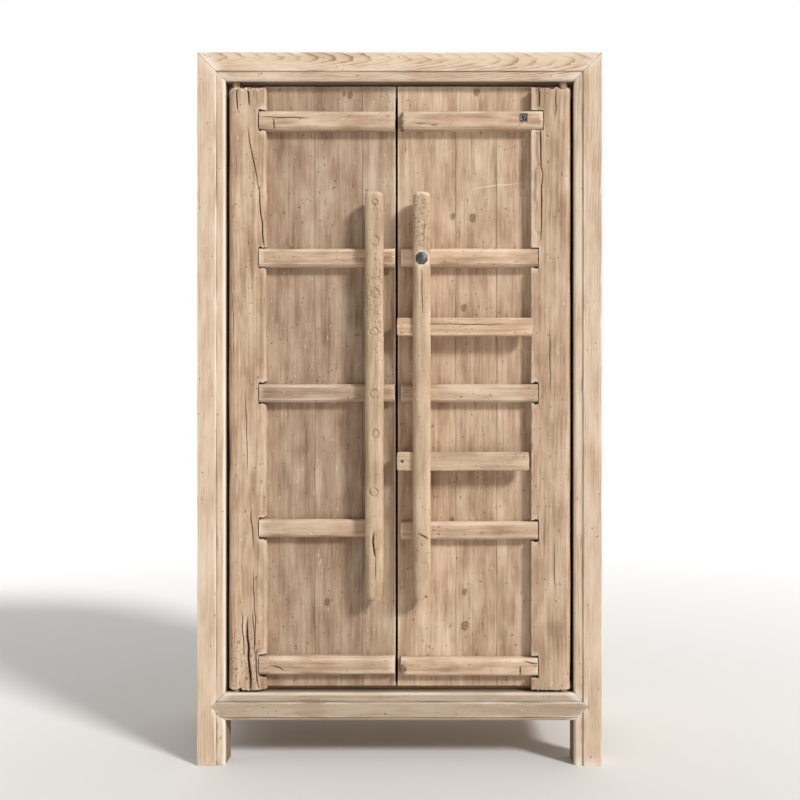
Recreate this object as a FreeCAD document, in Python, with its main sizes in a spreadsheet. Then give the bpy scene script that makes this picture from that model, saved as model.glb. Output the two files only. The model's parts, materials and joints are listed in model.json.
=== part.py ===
import FreeCAD, Part
import math
import os
from types import SimpleNamespace

import Sketcher

# A tall two-door wardrobe of reclaimed pine. The outer frame has three-way mitred top
# corners and a moulded front, the plank doors turn on wooden pins, and two bars slide
# through a pair of upright poles to hold the doors shut.

# Driving sizes in millimetres. Depths run back from the front plane of the outer frame.
SIZES = [
    ("height", 2000, "floor to the top of the frame"),
    ("width", 1135, "outside width of the frame"),
    ("depth", 560, "front plane to the back of the rear posts"),
    ("post", 78, "square section of the posts and top rails"),
    ("foot", 125, "clear height under the bottom rails"),
    ("moulding_flat", 52, "plain part of a moulded front face"),
    ("moulding_slope", 1.5, "width of the small step beside the plain part"),
    ("moulding_step", 3, "depth of that step"),
    ("arris", 8, "radius of the rounded inner edge"),
    ("lower_moulding", 12, "width of the moulding under the front bottom rail"),
    ("groove", 12, "thickness of panels, tenons and their grooves"),
    ("groove_inset", 24, "outer face of the frame to a groove"),
    ("groove_depth", 10, "depth of a panel groove"),
    ("tenon_length", 40, "length of a rail's tenon"),
    ("tenon_shoulder", 12, "shoulder above and below a rail's tenon"),
    ("corner_tenon_start", 30, "outer faces to the hidden tenon of a top corner"),
    ("corner_tenon_side", 22, "square section of that tenon"),
    ("corner_tenon_root", 65, "depth of its root below the top"),
    ("corner_tenon_tip", 18, "depth of its tip below the top"),
    ("spear_depth", 24, "thickness of the pointed ends of the front bottom rail"),
    ("front_rail_depth", 60, "depth of the front bottom rail"),
    ("front_tenon_start", 30, "front plane to the front bottom rail's tenon"),
    ("front_tenon_depth", 24, "thickness of that tenon"),
    ("side_rail_depth", 50, "thickness of the other bottom rails"),
    ("middle_rail_depth", 40, "thickness of the middle rails"),
    ("middle_rail_height", 60, "height of the middle rails"),
    ("middle_rail_level", 1000, "centre of the middle rails"),
    ("top_panel_drop", 10, "top of the frame to the top panel"),
    ("top_panel_thickness", 14, "thickness of the top panel"),
    ("floor_thickness", 20, "thickness of the floor board"),
    ("stop_gap", 0.5, "doors to the strip and board that stop them"),
    ("stop_width", 20, "depth of the door stop"),
    ("stop_height", 30, "height of the door stop"),
    ("shelf_level", 1600, "underside of the hat shelf"),
    ("shelf_thickness", 20, "thickness of the hat shelf"),
    ("shelf_front", 90, "front plane to the hat shelf"),
    ("bearer_width", 20, "width of a shelf bearer"),
    ("bearer_height", 30, "height of a shelf bearer"),
    ("hanger_level", 1500, "centre of the round seat for the hanging rail"),
    ("hanger_radius", 16, "radius of the hanging rail"),
    ("hanger_play", 0.3, "seat radius less rail radius"),
    ("hanger_end_gap", 4, "side panel to the end of the hanging rail"),
    ("socket_thickness", 20, "thickness of a hanging rail socket"),
    ("socket_half", 32, "half width of a socket"),
    ("socket_above", 22, "seat centre to the top of a socket"),
    ("socket_below", 40, "seat centre to the bottom of a socket"),
    ("door_gap", 5, "post to the rounded edge of a door"),
    ("stile_front", 6, "front plane to a hinge stile"),
    ("stile_thickness", 44, "thickness of a hinge stile"),
    ("stile_bottom", 208, "bottom of the hinge stiles"),
    ("stile_top", 1905, "top of the hinge stiles"),
    ("stile_rebate", 10, "width of the rebate that holds the outer plank"),
    ("pivot_radius", 12.5, "radius of a wooden pivot pin"),
    ("pivot_play", 0.3, "radial play of a pivot pin"),
    ("pivot_foot", 20, "pivot pin below the top of the bottom rail"),
    ("pivot_head", 40, "pivot pin above the underside of the top rail"),
    ("pivot_lift", 22, "room above the top pin to lift the door out"),
    ("plank_bottom", 216, "bottom of the planks"),
    ("plank_top", 1916, "top of the planks"),
    ("plank_thickness", 19, "thickness of the planks"),
    ("left_edge", -375, "inner edge of the left stile"),
    ("left_outer_joint", -241, "joint of the left outer and middle planks"),
    ("left_inner_joint", -106, "joint of the left middle and inner planks"),
    ("left_meeting", -12, "closing edge of the left door"),
    ("right_edge", 369, "inner edge of the right stile"),
    ("right_outer_joint", 275, "joint of the right outer and middle planks"),
    ("right_inner_joint", 159, "joint of the right middle and inner planks"),
    ("right_meeting", -6, "closing edge of the right door"),
    ("batten_front", 2, "front plane to the battens"),
    ("batten_height", 53, "height of the battens"),
    ("batten_bevel", 7, "bevel along the front edges of the battens"),
    ("batten_let_in", 21, "length of a batten let into the stile"),
    ("batten_long_let_in", 34, "the same for the long top batten of the right door"),
    ("right_batten_setback", 8.5, "closing edge of the right door to its battens"),
    ("left_short_batten", -50, "inner end of the left batten that stops at the pole"),
    ("left_level_top", 1812, "centre of the left door's top batten"),
    ("left_level_upper", 1426, "centre of its second batten"),
    ("left_level_middle", 1045, "centre of its third batten"),
    ("left_level_lower", 665, "centre of its fourth batten"),
    ("left_level_bottom", 279.5, "centre of its bottom batten"),
    ("right_level_top", 1812.5, "centre of the right door's top batten"),
    ("right_level_upper", 1426, "centre of its second batten"),
    ("right_level_middle", 1045, "centre of its third batten"),
    ("right_level_lower", 658.5, "centre of its fourth batten"),
    ("right_level_bottom", 276, "centre of its bottom batten"),
    ("left_pole", -69.5, "centre of the left latch pole"),
    ("right_pole", 62, "centre of the right latch pole"),
    ("pole_width", 53, "width of the latch poles"),
    ("pole_depth", 56, "depth of the latch poles"),
    ("pole_proud", 38, "latch poles in front of the front plane"),
    ("pole_round", 18, "corner radius of the latch poles"),
    ("pole_bottom", 467, "bottom of the latch poles"),
    ("pole_top", 1602, "top of the latch poles"),
    ("bar_proud", 22, "latch bars in front of the front plane"),
    ("bar_thickness", 26, "thickness of the latch bars"),
    ("bar_play", 2, "play of a bar in the poles' mortises"),
    ("bar_corner", 7, "corner radius of the latch bars"),
    ("bar_edge", 4, "rounding of their front and back edges"),
    ("bar_left_end", -8.5, "left end of the drawn bars, at the meeting of the doors"),
    ("upper_bar_bottom", 1203, "bottom of the upper bar"),
    ("upper_bar_height", 50, "height of the upper bar"),
    ("upper_bar_length", 380, "length of the upper bar"),
    ("lower_bar_bottom", 827, "bottom of the lower bar"),
    ("lower_bar_height", 53, "height of the lower bar"),
    ("lower_bar_length", 370, "length of the lower bar"),
    ("peg_hole_inset", 16, "end of the lower bar to its peg hole"),
    ("peg_hole_radius", 4, "radius of that hole"),
    ("nail_head", 14, "square head of a nail driven from inside"),
    ("nail_head_thickness", 2.5, "thickness of that head"),
    ("nail_shank", 5, "square shank of a batten nail"),
    ("nail_tip", 12, "front plane to the tip of a batten nail"),
    ("pole_nail_shank", 6, "square shank of a pole nail"),
    ("pole_nail_proud", 14, "tip of a pole nail in front of the front plane"),
    ("spike_head", 36, "width of the faceted iron spike on the right pole"),
    ("spike_crown", 17, "width of the spike's small front facet"),
    ("spike_proud", 5, "height of the spike's head"),
    ("spike_shank", 8, "square shank of the spike"),
    ("spike_level", 1414.5, "centre of the spike"),
    ("plate_head", 22, "square nail head on the right door's top batten"),
    ("plate_proud", 3, "thickness of that head"),
    ("plate_shank", 6, "square shank of that nail"),
    ("plate_tip", 40, "front plane to its tip"),
    ("plate_along", 348.5, "its place along the batten"),
    ("plate_level", 1817.5, "its height"),
    ("left_outer_nails", -310, "nails in the left outer plank"),
    ("left_middle_nails", -175, "nails in the left middle plank"),
    ("left_inner_nails", -90, "nails in the left inner plank"),
    ("right_outer_nails", 325, "nails in the right outer plank"),
    ("right_middle_nails", 217, "nails in the right middle plank"),
    ("right_inner_nails", 120, "nails in the right inner plank"),
]
LEFT, RIGHT = -1, 1
FRONT, REAR = "front", "rear"
SIDE_NAMES = {LEFT: "left", RIGHT: "right"}
OVERCUT = 1  # how far a cut runs past the face that it opens


class Size:
    """A length that carries the sheet formula it was worked out by."""

    def __init__(self, value, formula):
        self.value = value
        self.formula = formula

    def joined(self, sign, value, other, swapped=False):
        pair = (formula(other), self.formula) if swapped else (self.formula, formula(other))
        return Size(value, f"({pair[0]} {sign} {pair[1]})")

    def __add__(self, other):
        return self.joined("+", self.value + number(other), other)

    def __sub__(self, other):
        return self.joined("-", self.value - number(other), other)

    def __mul__(self, other):
        return self.joined("*", self.value * number(other), other)

    def __truediv__(self, other):
        return self.joined("/", self.value / number(other), other)

    def __radd__(self, other):
        return self.joined("+", number(other) + self.value, other, swapped=True)

    def __rsub__(self, other):
        return self.joined("-", number(other) - self.value, other, swapped=True)

    def __rmul__(self, other):
        return self.joined("*", number(other) * self.value, other, swapped=True)

    def __neg__(self):
        return Size(-self.value, f"(0 - {self.formula})")


def number(length):
    return length.value if isinstance(length, Size) else length


def formula(length):
    return length.formula if isinstance(length, Size) else f"({length})"


def span(one, two):
    """Two places in rising order."""
    return (one, two) if number(one) <= number(two) else (two, one)


doc = FreeCAD.newDocument("wardrobe")
sheet = doc.addObject("Spreadsheet::Sheet", "sheet")
cell = SimpleNamespace()
for row, (alias, value, meaning) in enumerate(SIZES, 1):
    sheet.set(f"A{row}", meaning)
    sheet.set(f"B{row}", str(value))
    sheet.setAlias(f"B{row}", alias)
    setattr(cell, alias, Size(value, f"sheet.{alias}"))
doc.recompute()

# The origin is under the middle of the whole outline, which the spike's head reaches furthest.
front_plane = -(cell.depth - cell.pole_proud - cell.spike_proud) / 2
inner_half = cell.width / 2 - cell.post
rail_top = cell.foot + cell.post
opening_top = cell.height - cell.post
groove_end = cell.groove_inset + cell.groove
pivot_depth = cell.stile_front + cell.stile_thickness / 2
pivot_half = inner_half - cell.door_gap - cell.stile_thickness / 2
door_back = cell.stile_front + cell.stile_thickness
plank_front = door_back - cell.plank_thickness
stop_front = door_back + cell.stop_gap
bar_back = cell.bar_thickness - cell.bar_proud
pole_back = cell.pole_depth - cell.pole_proud
subparts = []


def placed(piece, name):
    """Names a sub-part and sets its own front plane at the wardrobe's."""
    piece.Label = name
    piece.setExpression("Placement.Base.y", front_plane.formula)
    subparts.append(piece)
    return piece


def new_body(name):
    return placed(doc.addObject("PartDesign::Body", name), name)


def draw(sketch, loops):
    """Draws closed outlines whose corners and radii are all bound to the sheet.

    An outline is a list of corners (x, y), or (x, y, radius) where the next stretch is an
    arc bulging out of the outline. A circle is ("circle", x, y, radius).
    """
    shapes = []
    rules = []
    sizes = []

    def hold(kind, geometry, place, size):
        where = (-1, 1, geometry, place) if kind != "Radius" else (geometry,)
        rules.append(Sketcher.Constraint(kind, *where, number(size)))
        sizes.append(size)

    up = FreeCAD.Vector(0, 0, 1)
    joins = []
    for loop in loops:
        first = len(shapes)
        if loop[0] == "circle":
            x, y, radius = loop[1:]
            shapes.append(Part.Circle(FreeCAD.Vector(number(x), number(y)), up, number(radius)))
            hold("DistanceX", first, 3, x)
            hold("DistanceY", first, 3, y)
            hold("Radius", first, None, radius)
            continue
        points = [FreeCAD.Vector(number(c[0]), number(c[1])) for c in loop]
        following = points[1:] + points[:1]
        area = sum(p.x * q.y - q.x * p.y for p, q in zip(points, following))
        turn = 1 if area > 0 else -1
        ends = []
        for corner, p, q in zip(loop, points, following):
            geometry = len(shapes)
            begin, finish = 1, 2
            if len(corner) == 3:
                radius = number(corner[2])
                chord = q - p
                rise = math.sqrt(max(radius**2 - (chord.Length / 2) ** 2, 0))
                left = FreeCAD.Vector(-chord.y, chord.x) / chord.Length
                centre = (p + q) / 2 + left * rise * turn
                angles = [math.atan2(v.y - centre.y, v.x - centre.x) for v in (p, q)][::turn]
                shapes.append(Part.ArcOfCircle(Part.Circle(centre, up, radius), *angles))
                begin, finish = (1, 2)[::turn]
                hold("Radius", geometry, None, corner[2])
            else:
                shapes.append(Part.LineSegment(p, q))
            hold("DistanceX", geometry, begin, corner[0])
            hold("DistanceY", geometry, begin, corner[1])
            ends.append((geometry, begin, finish))
        for (one, _, finish), (two, begin, _) in zip(ends, ends[1:] + ends[:1]):
            joins.append(Sketcher.Constraint("Coincident", one, finish, two, begin))
    sketch.addGeometry(shapes, False)
    sketch.addConstraint(joins + rules)
    for index, size in enumerate(sizes, len(joins)):
        if isinstance(size, Size):
            sketch.setExpression(f"Constraints[{index}]", size.formula)


def outline(body, plane, loops, level):
    """A sketch on one of the body's own planes, moved along that plane's axis to level."""
    sketch = body.newObject("Sketcher::SketchObject", "Outline")
    support = [f for f in body.Origin.OriginFeatures if f.Role == plane + "_Plane"]
    sketch.AttachmentSupport = [(support[0], "")]
    sketch.MapMode = "FlatFace"
    facing = -1 if plane == "XZ" else 1
    sketch.setExpression("AttachmentOffset.Base.z", formula(facing * level))
    draw(sketch, loops)
    return sketch


def extrude(body, plane, loops, start, stop, cut=False):
    """Adds or cuts what the outlines sweep between two places along the plane's axis."""
    before = body.Shape.Volume if cut else 0
    sketch = outline(body, plane, loops, start)
    kind = "Pocket" if cut else "Pad"
    feature = body.newObject("PartDesign::" + kind, kind)
    feature.Profile = sketch
    feature.setExpression("Length", formula(stop - start))
    feature.Reversed = (plane == "XZ") != cut
    doc.recompute()
    if cut and body.Shape.Volume > before - 1:
        raise RuntimeError(f"a cut in {body.Label} removes nothing")
    return feature


def rectangle(xs, ys):
    (x0, x1), (y0, y1) = span(*xs), span(*ys)
    return [(x0, y0), (x1, y0), (x1, y1), (x0, y1)]


def square(x, y, side):
    return rectangle((x - side / 2, x + side / 2), (y - side / 2, y + side / 2))


def rounded(x, y, half_x, half_y, radius):
    """A rectangle about (x, y) with quarter-round corners."""
    near_x, near_y = half_x - radius, half_y - radius
    return [
        (x - near_x, y - half_y),
        (x + near_x, y - half_y, radius),
        (x + half_x, y - near_y),
        (x + half_x, y + near_y, radius),
        (x + near_x, y + half_y),
        (x - near_x, y + half_y, radius),
        (x - half_x, y + near_y),
        (x - half_x, y - near_y, radius),
    ]


def block(body, xs, ys, zs, cut=False):
    return extrude(body, "XY", [rectangle(xs, ys)], *span(*zs), cut)


def round_edges(body, radius, chosen):
    """Rounds the edges of the body that chosen picks."""
    base = body.Tip
    names = [f"Edge{i}" for i, edge in enumerate(base.Shape.Edges, 1) if chosen(edge)]
    fillet = body.newObject("PartDesign::Fillet", "Fillet")
    fillet.Base = (base, names)
    fillet.setExpression("Radius", formula(radius))
    doc.recompute()


def across(side, inset):
    """X of a place that lies inset from the outer face of one side."""
    return side * (cell.width / 2 - inset)


def along(end, inset):
    """Depth of a place that lies inset from the front or rear face of the frame."""
    return inset + 0 * cell.depth if end == FRONT else cell.depth - inset


def under(inset):
    """Height of a place that lies inset below the top of the frame."""
    return cell.height - inset


# The outer frame: posts and top rails of one section, joined by three-way mitres


def moulded_face(place):
    """Corners of a moulded face from its plain outer edge to the rounded inner one."""
    flat, step = cell.moulding_flat, cell.moulding_step
    return [
        place(0, 0),
        place(flat, 0),
        place(flat + cell.moulding_slope, step),
        place(cell.post - cell.arris, step) + (cell.arris,),
        place(cell.post, step + cell.arris),
        place(cell.post, cell.post),
        place(0, cell.post),
    ]


def mitre(body, side, end, keep, give):
    """Cuts a top corner so that keep, the member's own direction, is never less than give.

    Directions are x, y and z, measured inwards from the corner's outer faces.
    """
    places = {
        "x": lambda inset: across(side, inset),
        "y": lambda inset: along(end, inset),
        "z": under,
    }
    first, second = sorted((keep, give))
    third = next(d for d in "xyz" if d not in (keep, give))
    corners = []
    for kept, given in ((0, 0), (0, cell.post), (cell.post, cell.post)):
        inset = {keep: kept, give: given}
        corners.append((places[first](inset[first]), places[second](inset[second])))
    start, stop = span(places[third](-OVERCUT), places[third](cell.post + OVERCUT))
    extrude(body, (first + second).upper(), [corners], start, stop, cut=True)


def corner_tenon(body, side, end, cut):
    """The hidden square tenon on a post's top, or its mortise in a rail."""
    start = cell.corner_tenon_start
    stop = start + cell.corner_tenon_side
    root = cell.post + OVERCUT if cut else cell.corner_tenon_root
    block(
        body,
        (across(side, start), across(side, stop)),
        (along(end, start), along(end, stop)),
        (under(root), under(cell.corner_tenon_tip)),
        cut,
    )


def rail_tenon(level, height):
    """Bottom and top of the tenon of a rail whose lower edge is at level."""
    return level + cell.tenon_shoulder, level + height - cell.tenon_shoulder


middle_bottom = cell.middle_rail_level - cell.middle_rail_height / 2
groove_band = (cell.groove_inset, groove_end)
tenon_reach = cell.post - cell.tenon_length
bottom_tenon = rail_tenon(cell.foot, cell.post)
middle_tenon = rail_tenon(middle_bottom, cell.middle_rail_height)
groove_heights = (rail_top - cell.groove_depth, opening_top + cell.groove_depth)
groove_floor = cell.post - cell.groove_depth
groove_above = (under(groove_floor), under(cell.post + OVERCUT))


def across_band(side):
    return across(side, cell.groove_inset), across(side, groove_end)


def along_band(end):
    return along(end, cell.groove_inset), along(end, groove_end)


def post(side, end):
    body = new_body(f"{end}_{SIDE_NAMES[side]}_post")
    if end == FRONT:
        section = moulded_face(lambda inset, depth: (across(side, inset), depth))
    else:
        section = rectangle(
            (across(side, 0), across(side, cell.post)), (along(end, 0), along(end, cell.post))
        )
    extrude(body, "XY", [section], 0 * cell.foot, cell.height)
    mitre(body, side, end, "z", "x")
    mitre(body, side, end, "z", "y")
    corner_tenon(body, side, end, cut=False)
    opened = cell.post + OVERCUT
    side_groove = (along(end, groove_floor), along(end, opened))
    side_mortise = (along(end, tenon_reach), along(end, opened))
    block(body, across_band(side), side_groove, groove_heights, cut=True)
    for heights in (bottom_tenon, middle_tenon):
        block(body, across_band(side), side_mortise, heights, cut=True)
    if end == REAR:
        rear_groove = (across(side, groove_floor), across(side, opened))
        rear_mortise = (across(side, tenon_reach), across(side, opened))
        block(body, rear_groove, along_band(end), groove_heights, cut=True)
        for heights in (bottom_tenon, middle_tenon):
            block(body, rear_mortise, along_band(end), heights, cut=True)
    else:
        notch_front_post(body, side)


def spear_corners(side):
    """The pointed end of the front bottom rail: root above, tip and root below."""
    root = side * inner_half
    tip = side * (inner_half + cell.post / 2)
    return (root, rail_top), (tip, cell.foot + cell.post / 2), (root, cell.foot)


def front_tenon(side):
    return side * (inner_half - OVERCUT), side * (inner_half + cell.post / 2)


front_tenon_band = (cell.front_tenon_start, cell.front_tenon_start + cell.front_tenon_depth)


def notch_front_post(body, side):
    """Makes room for the pointed end and tenon of the front bottom rail."""
    spear = list(spear_corners(side))
    extrude(body, "XZ", [spear], -OVERCUT + 0 * cell.post, cell.spear_depth, cut=True)
    block(body, front_tenon(side), front_tenon_band, bottom_tenon, cut=True)


def top_panel_heights():
    top = under(cell.top_panel_drop)
    return top - cell.top_panel_thickness, top


def front_or_rear_top_rail(end):
    body = new_body(f"{end}_top_rail")
    if end == FRONT:
        section = moulded_face(lambda inset, depth: (depth, under(inset)))
    else:
        section = rectangle((along(end, 0), along(end, cell.post)), (under(0), under(cell.post)))
    extrude(body, "YZ", [section], across(LEFT, 0), across(RIGHT, 0))
    for side in (LEFT, RIGHT):
        mitre(body, side, end, "x", "z")
        mitre(body, side, end, "x", "y")
        corner_tenon(body, side, end, cut=True)
    length = (across(LEFT, groove_floor), across(RIGHT, groove_floor))
    inner_groove = (along(end, groove_floor), along(end, cell.post + OVERCUT))
    block(body, length, inner_groove, top_panel_heights(), cut=True)
    if end == REAR:
        block(body, length, along_band(end), groove_above, cut=True)
    else:
        hole_top = opening_top + cell.pivot_head + cell.pivot_lift
        extrude(body, "XY", pivot_holes(), opening_top - OVERCUT, hole_top, cut=True)


def pivot_holes():
    radius = cell.pivot_radius + cell.pivot_play
    return [("circle", side * pivot_half, pivot_depth, radius) for side in (LEFT, RIGHT)]


def side_top_rail(side):
    body = new_body(f"{SIDE_NAMES[side]}_top_rail")
    section = rectangle((across(side, 0), across(side, cell.post)), (under(0), under(cell.post)))
    extrude(body, "XZ", [section], 0 * cell.depth, cell.depth)
    for end in (FRONT, REAR):
        mitre(body, side, end, "y", "z")
        mitre(body, side, end, "y", "x")
        corner_tenon(body, side, end, cut=True)
    length = (along(FRONT, groove_floor), along(REAR, groove_floor))
    inner_groove = (across(side, groove_floor), across(side, cell.post + OVERCUT))
    block(body, inner_groove, length, top_panel_heights(), cut=True)
    block(body, across_band(side), length, groove_above, cut=True)


def plain_rail(name, place, bottom, height, depth, grooves):
    """A rail between two posts with a tenon at each end and grooves for the panels.

    place turns a stretch across the rail's thickness and an inset of its ends into x and y.
    """
    body = new_body(name)
    block(body, *place((0, depth), cell.post), (bottom, bottom + height))
    block(body, *place(groove_band, tenon_reach), rail_tenon(bottom, height))
    floors = {
        "top": (bottom + height - cell.groove_depth, bottom + height + OVERCUT),
        "bottom": (bottom - OVERCUT, bottom + cell.groove_depth),
    }
    for groove in grooves:
        block(body, *place(groove_band, cell.post), floors[groove], cut=True)


def side_place(side):
    def place(band, inset):
        xs = tuple(across(side, distance) for distance in band)
        return xs, (along(FRONT, inset), along(REAR, inset))

    return place


def rear_place(band, inset):
    ys = tuple(along(REAR, distance) for distance in band)
    return (across(LEFT, inset), across(RIGHT, inset)), ys


def panelled_wall(name, place):
    """A bottom rail, a middle rail and the two panels that float in their grooves."""
    plain_rail(f"{name}_bottom_rail", place, cell.foot, cell.post, cell.side_rail_depth, ["top"])
    plain_rail(
        f"{name}_middle_rail",
        place,
        middle_bottom,
        cell.middle_rail_height,
        cell.middle_rail_depth,
        ["top", "bottom"],
    )
    middle_top = middle_bottom + cell.middle_rail_height
    heights = {
        "lower": (groove_heights[0], middle_bottom + cell.groove_depth),
        "upper": (middle_top - cell.groove_depth, groove_heights[1]),
    }
    for level, rise in heights.items():
        block(new_body(f"{name}_{level}_panel"), *place(groove_band, groove_floor), rise)


def front_bottom_rail():
    """The moulded rail under the doors, whose pointed ends lie in the posts' faces."""
    body = new_body("front_bottom_rail")
    step, arris, slope = cell.moulding_step, cell.arris, cell.moulding_slope
    upper_moulding = cell.post - cell.moulding_flat
    section = [
        (step + arris, rail_top, arris),
        (step, rail_top - arris),
        (step, rail_top - upper_moulding + slope),
        (0, rail_top - upper_moulding),
        (0, cell.foot + cell.lower_moulding),
        (step, cell.foot + cell.lower_moulding - slope),
        (step, cell.foot + arris, arris),
        (step + arris, cell.foot),
        (cell.front_rail_depth, cell.foot),
        (cell.front_rail_depth, rail_top),
    ]
    reach = inner_half + cell.post / 2
    extrude(body, "YZ", [section], -reach, reach)
    behind = (cell.spear_depth, cell.front_rail_depth + OVERCUT)
    ends = [rectangle((side * inner_half, side * (reach + OVERCUT)), behind) for side in (LEFT, RIGHT)]
    extrude(body, "XY", ends, cell.foot - OVERCUT, rail_top + OVERCUT, cut=True)
    waste = []
    for side in (LEFT, RIGHT):
        above, tip, below = spear_corners(side)
        for root in (above, below):
            waste.append([root, (tip[0], root[1]), tip])
    extrude(body, "XZ", waste, -OVERCUT + 0 * cell.post, cell.spear_depth + OVERCUT, cut=True)
    block(body, (-reach, reach), front_tenon_band, bottom_tenon)
    hole_floor = rail_top - cell.pivot_foot - cell.pivot_play
    extrude(body, "XY", pivot_holes(), hole_floor, rail_top + OVERCUT, cut=True)


for end in (FRONT, REAR):
    for side in (LEFT, RIGHT):
        post(side, end)
    front_or_rear_top_rail(end)
for side in (LEFT, RIGHT):
    side_top_rail(side)
    panelled_wall(SIDE_NAMES[side], side_place(side))
panelled_wall("rear", rear_place)
front_bottom_rail()
block(
    new_body("top_panel"),
    (across(LEFT, groove_floor), across(RIGHT, groove_floor)),
    (along(FRONT, groove_floor), along(REAR, groove_floor)),
    top_panel_heights(),
)


# Inside: the floor, the strip that stops the doors, a hat shelf and a hanging rail


def notched_board(name, front, bottom, thickness, front_notches):
    """A board as wide as the inside, cut round the posts that it passes."""
    body = new_body(name)
    wide = cell.width / 2 - groove_end
    rear_notch = along(REAR, cell.post)
    back = along(REAR, groove_end)
    half = [(wide, rear_notch), (inner_half, rear_notch), (inner_half, back)]
    if front_notches:
        front_notch = along(FRONT, cell.post)
        half = [(inner_half, front), (inner_half, front_notch), (wide, front_notch)] + half
    else:
        half = [(wide, front)] + half
    corners = half + [(-x, y) for x, y in reversed(half)]
    extrude(body, "XY", [corners], bottom, bottom + thickness)


notched_board("floor_board", stop_front, rail_top, cell.floor_thickness, front_notches=True)
notched_board("hat_shelf", cell.shelf_front, cell.shelf_level, cell.shelf_thickness, front_notches=False)
block(
    new_body("door_stop"),
    (-inner_half, inner_half),
    (stop_front, stop_front + cell.stop_width),
    (opening_top - cell.stop_height, opening_top),
)
hanger_depth = cell.depth / 2
for side in (LEFT, RIGHT):
    bearer = new_body(f"{SIDE_NAMES[side]}_shelf_bearer")
    block(
        bearer,
        (across(side, groove_end), across(side, groove_end + cell.bearer_width)),
        (along(FRONT, cell.post), along(REAR, cell.post)),
        (cell.shelf_level - cell.bearer_height, cell.shelf_level),
    )
    socket = new_body(f"{SIDE_NAMES[side]}_rail_socket")
    thickness = span(across(side, groove_end), across(side, groove_end + cell.socket_thickness))
    socket_top = cell.hanger_level + cell.socket_above
    face = rectangle(
        (hanger_depth - cell.socket_half, hanger_depth + cell.socket_half),
        (cell.hanger_level - cell.socket_below, socket_top),
    )
    extrude(socket, "YZ", [face], *thickness)
    seat = cell.hanger_radius + cell.hanger_play
    slot = [
        (hanger_depth - seat, socket_top + OVERCUT),
        (hanger_depth - seat, cell.hanger_level, seat),
        (hanger_depth, cell.hanger_level - seat, seat),
        (hanger_depth + seat, cell.hanger_level),
        (hanger_depth + seat, socket_top + OVERCUT),
    ]
    extrude(socket, "YZ", [slot], *thickness, cut=True)

hanging_rail = doc.addObject("Part::Cylinder", "hanging_rail")
hanging_rail.Label = "hanging_rail"
hanging_rail.Placement = FreeCAD.Placement(FreeCAD.Vector(), FreeCAD.Rotation(FreeCAD.Vector(0, 1, 0), 90))
rail_half = cell.width / 2 - groove_end - cell.hanger_end_gap
hanging_rail.setExpression("Radius", cell.hanger_radius.formula)
hanging_rail.setExpression("Height", (2 * rail_half).formula)
hanging_rail.setExpression("Placement.Base.x", (-rail_half).formula)
hanging_rail.setExpression("Placement.Base.y", (front_plane + hanger_depth).formula)
hanging_rail.setExpression("Placement.Base.z", (cell.hanger_level - cell.hanger_play).formula)
subparts.append(hanging_rail)


# The doors: a thick hinge stile with turned pins, three planks, battens across them and a pole

LEVELS = ("top", "upper", "middle", "lower", "bottom")
POLE_LEVELS = LEVELS[1:4]
PLANKS = ("outer", "middle", "inner")


def door_cell(side, name):
    return getattr(cell, f"{SIDE_NAMES[side]}_{name}")


def batten_heights(side, level):
    centre = door_cell(side, f"level_{level}")
    return centre - cell.batten_height / 2, centre + cell.batten_height / 2


def batten_ends(side, level):
    """Outer and inner end of a batten."""
    let_in = cell.batten_let_in
    inner = door_cell(side, "meeting")
    if side == RIGHT:
        inner = inner + cell.right_batten_setback
        if level == "top":
            let_in = cell.batten_long_let_in
    elif level == "lower":
        inner = cell.left_short_batten
    return door_cell(side, "edge") + side * let_in, inner


def batten_nails(side, level, size):
    """Squares round the nails that hold a batten to the planks."""
    height = door_cell(side, f"level_{level}")
    return [square(door_cell(side, f"{plank}_nails"), height, size) for plank in PLANKS]


def pole_nail_levels(side):
    """The battens where a pole is nailed from inside. The spike takes one on the right."""
    return POLE_LEVELS if side == LEFT else POLE_LEVELS[1:]


def pole_nail(side, level, size):
    return square(door_cell(side, "pole"), door_cell(side, f"level_{level}"), size)


def spike_hole():
    return square(cell.right_pole, cell.spike_level, cell.spike_shank)


def plate_hole():
    return square(cell.plate_along, cell.plate_level, cell.plate_shank)


def hinge_stile(side):
    """A stile rounded about its pins, rebated for a plank and notched for the battens."""
    body = new_body(f"{SIDE_NAMES[side]}_hinge_stile")
    axis, edge = side * pivot_half, door_cell(side, "edge")
    radius = cell.stile_thickness / 2
    rebated = edge + side * cell.stile_rebate
    section = [
        (axis, cell.stile_front),
        (edge, cell.stile_front),
        (edge, plank_front),
        (rebated, plank_front),
        (rebated, door_back),
        (axis, door_back, radius),
        (axis + side * radius, pivot_depth, radius),
    ]
    extrude(body, "XY", [section], cell.stile_bottom, cell.stile_top)
    pin = [("circle", axis, pivot_depth, cell.pivot_radius)]
    extrude(body, "XY", pin, rail_top - cell.pivot_foot, cell.stile_bottom)
    extrude(body, "XY", pin, cell.stile_top, opening_top + cell.pivot_head)
    notches = []
    for level in LEVELS:
        outer, _ = batten_ends(side, level)
        notches.append(rectangle((outer, edge - side * OVERCUT), batten_heights(side, level)))
    extrude(body, "XZ", notches, cell.stile_front - OVERCUT, plank_front, cut=True)


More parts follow.
